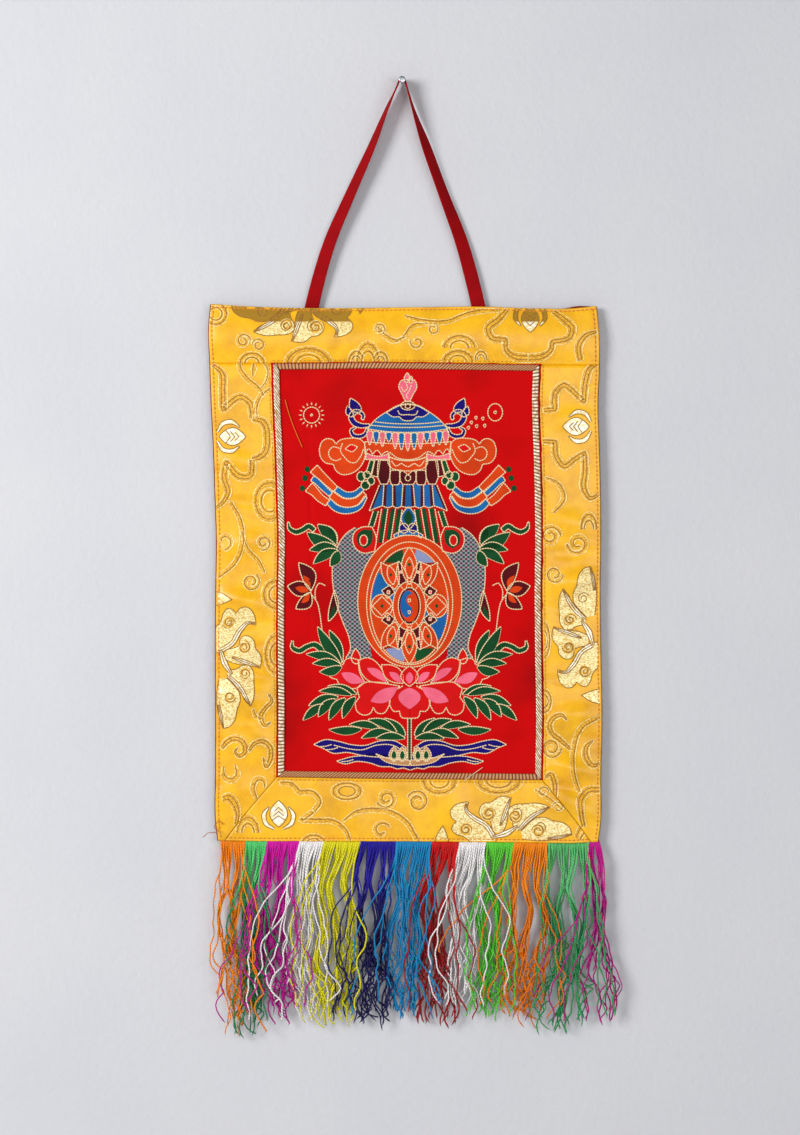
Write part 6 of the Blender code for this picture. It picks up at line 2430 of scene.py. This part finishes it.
class HANGING_OT_stage(bpy.types.Operator):
    """Makes the plain wall and floor, the soft studio lights and the camera"""

    bl_idname = "hanging.stage"
    bl_label = "Wall, floor, lights and camera"

    def execute(self, context):
        width = sizes().wall_width
        self.sheet_of_stage("plain_wall", width, WALL_BEHIND, (FLOOR_LEVEL, 2.4), colours().wall, True)
        self.sheet_of_stage("plain_floor", width, FLOOR_LEVEL, (0.0, -3.2), colours().floor, False)
        for lamp in LAMPS:
            self.light(*lamp)
        world = bpy.data.worlds.new("soft studio")
        context.scene.world = world
        world.use_nodes = True
        background = world.node_tree.nodes["Background"].inputs
        background["Color"].default_value = linear("E2E3E5")
        background["Strength"].default_value = 0.3
        # A portrait lens, far enough back for the photograph's height to fill the frame
        lens, sensor = 85.0, 36.0
        distance = SEEN_HEIGHT * lens / sensor
        camera = bpy.data.objects.new("photo_angle", bpy.data.cameras.new("photo_angle"))
        camera.data.lens = lens
        camera.data.sensor_width = sensor
        camera.location = (LOOKS_AT_X, -distance - LENS_IN_FRONT, LOOKS_AT_Z)
        camera.rotation_euler = (math.pi / 2, 0.0, 0.0)
        context.scene.collection.objects.link(camera)
        context.scene.camera = camera
        context.scene.view_settings.view_transform = "Standard"
        return {"FINISHED"}

    def sheet_of_stage(self, name, width, level, reach, colour, upright):
        """A single large face of painted plaster, seen from its front and clear from behind."""
        half = width / 2
        low, high = reach
        if upright:
            corners = [(-half, level, low), (half, level, low), (half, level, high), (-half, level, high)]
        else:
            corners = [(-half, high, level), (half, high, level), (half, low, level), (-half, low, level)]
        mesh = bpy.data.meshes.new(name)
        mesh.from_pydata(corners, [], [(0, 1, 2, 3)])
        made = bpy.data.objects.new(name, mesh)
        mesh.materials.append(plaster(name.replace("_", " "), colour))
        bpy.context.scene.collection.objects.link(made)

    def light(self, name, place, size, power):
        """A square soft box that faces the middle of the cloth."""
        lamp = bpy.data.lights.new(name, "AREA")
        lamp.size = size
        lamp.energy = power
        made = bpy.data.objects.new(name, lamp)
        made.location = place
        away = np.array(place) - (0.0, 0.0, LIT_MIDDLE_Z)
        flat = math.hypot(away[0], away[1])
        made.rotation_euler = (math.atan2(flat, away[2]), 0.0, math.atan2(away[0], -away[1]))
        bpy.context.scene.collection.objects.link(made)


def plaster(name, colour):
    """Matt emulsion on plaster: roller stipple a few mm across, and faint large clouds."""
    made, tree, shader = new_material(name + " plaster", 0.9, 0.0, 0.25)
    place = object_place(tree)
    cloud = node(tree, "ShaderNodeTexNoise", {"Vector": place, "Scale": 9.0, "Detail": 5.0}).outputs["Fac"]
    grains = {"Vector": place, "Scale": 210.0, "Detail": 5.0, "Roughness": 0.6}
    stipple = node(tree, "ShaderNodeTexNoise", grains).outputs["Fac"]
    tree.links.new(mixed(tree, cloud, colour, linear("C2C3C8")), shader.inputs["Base Color"])
    bumped(tree, shader, stipple, 0.35, 1.2)
    back = node(tree, "ShaderNodeNewGeometry").outputs["Backfacing"]
    clear = node(tree, "ShaderNodeBsdfTransparent").outputs[0]
    end = tree.nodes["Material Output"]
    either = node(tree, "ShaderNodeMixShader", {0: back, 1: shader.outputs[0], 2: clear})
    tree.links.new(either.outputs[0], end.inputs["Surface"])
    return made


OPERATORS = (
    HANGING_OT_stage,
    HANGING_OT_cloths,
    HANGING_OT_emblem,
    HANGING_OT_brocade,
    HANGING_OT_stitches,
    HANGING_OT_braids,
    HANGING_OT_ribbon,
    HANGING_OT_nail,
    HANGING_OT_fringe,
)


class HANGING_PT_pieces(bpy.types.Panel):
    """Lists the hanging's pieces, sizes and colours"""

    bl_idname = "HANGING_PT_pieces"
    bl_label = "Brocade hanging"
    bl_space_type = "VIEW_3D"
    bl_region_type = "UI"
    bl_category = "Hanging"

    def draw(self, context):
        for operator in OPERATORS:
            self.layout.operator(operator.bl_idname)
        for group in (context.scene.hanging_sizes, context.scene.hanging_colours):
            box = self.layout.box()
            for name in group.__annotations__:
                box.prop(group, name)


CLASSES = (HangingSizes, HangingColours, *OPERATORS, HANGING_PT_pieces)


def register():
    for made in CLASSES:
        bpy.utils.register_class(made)
    bpy.types.Scene.hanging_sizes = PointerProperty(type=HangingSizes)
    bpy.types.Scene.hanging_colours = PointerProperty(type=HangingColours)


def unregister():
    del bpy.types.Scene.hanging_colours
    del bpy.types.Scene.hanging_sizes
    for made in reversed(CLASSES):
        bpy.utils.unregister_class(made)


def pieces_on(*starts):
    """The made pieces whose names start in one of these ways: what is sewn on or woven into a cloth."""
    made = [piece for piece in bpy.data.objects if piece.name.startswith(starts)]
    return sorted(piece.name for piece in made if "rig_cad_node" not in piece)


def declare_sheets():
    """Works out each cloth's flat cut and looks up the pieces that go with it, but states and keeps none of
    it. Braids and ribbon are too narrow for sheets and go with one.
    """
    side_cut = BODY_HEIGHT - TOP_BORDER
    inner = BODY_WIDTH - LEFT_BORDER - RIGHT_BORDER
    left_area, right_area = (
        width * side_cut - (width - MITRE_FOOT) * BOTTOM_BORDER / 2 for width in (LEFT_BORDER, RIGHT_BORDER)
    )
    bottom_area = (BODY_WIDTH + inner - 2 * MITRE_FOOT) / 2 * BOTTOM_BORDER
    Cut = namedtuple("Cut", "name width length area carries")
    cuts = [
        Cut("lining", BODY_WIDTH + 1, BODY_HEIGHT, None, ("hanging_ribbon",)),
        Cut("border_top", BODY_WIDTH, TOP_BORDER + 6, None, ("figures_top", "stitches_top")),
        Cut("border_left", LEFT_BORDER, side_cut, left_area, ("figures_left", "stitches_left")),
        Cut("border_right", RIGHT_BORDER, side_cut, right_area, ("figures_right", "stitches_right")),
        Cut(
            "border_bottom",
            BODY_WIDTH,
            BOTTOM_BORDER,
            bottom_area,
            ("figures_bottom", "stitches_bottom", "fringe_", "loose_thread_brown"),
        ),
        Cut(
            "panel",
            inner,
            side_cut - BOTTOM_BORDER,
            None,
            ("braid_", "emblem_", "loose_thread_orange", "loose_thread_cream"),
        ),
    ]
    for cut in cuts:
        [bpy.data.objects[name] for name in pieces_on(*cut.carries)]
        cut.area and cut.area * MM * MM


def main():
    register()
    for operator in OPERATORS:
        group, name = operator.bl_idname.split(".")
        getattr(getattr(bpy.ops, group), name)()
    declare_sheets()


if __name__ == "__main__":
    main()
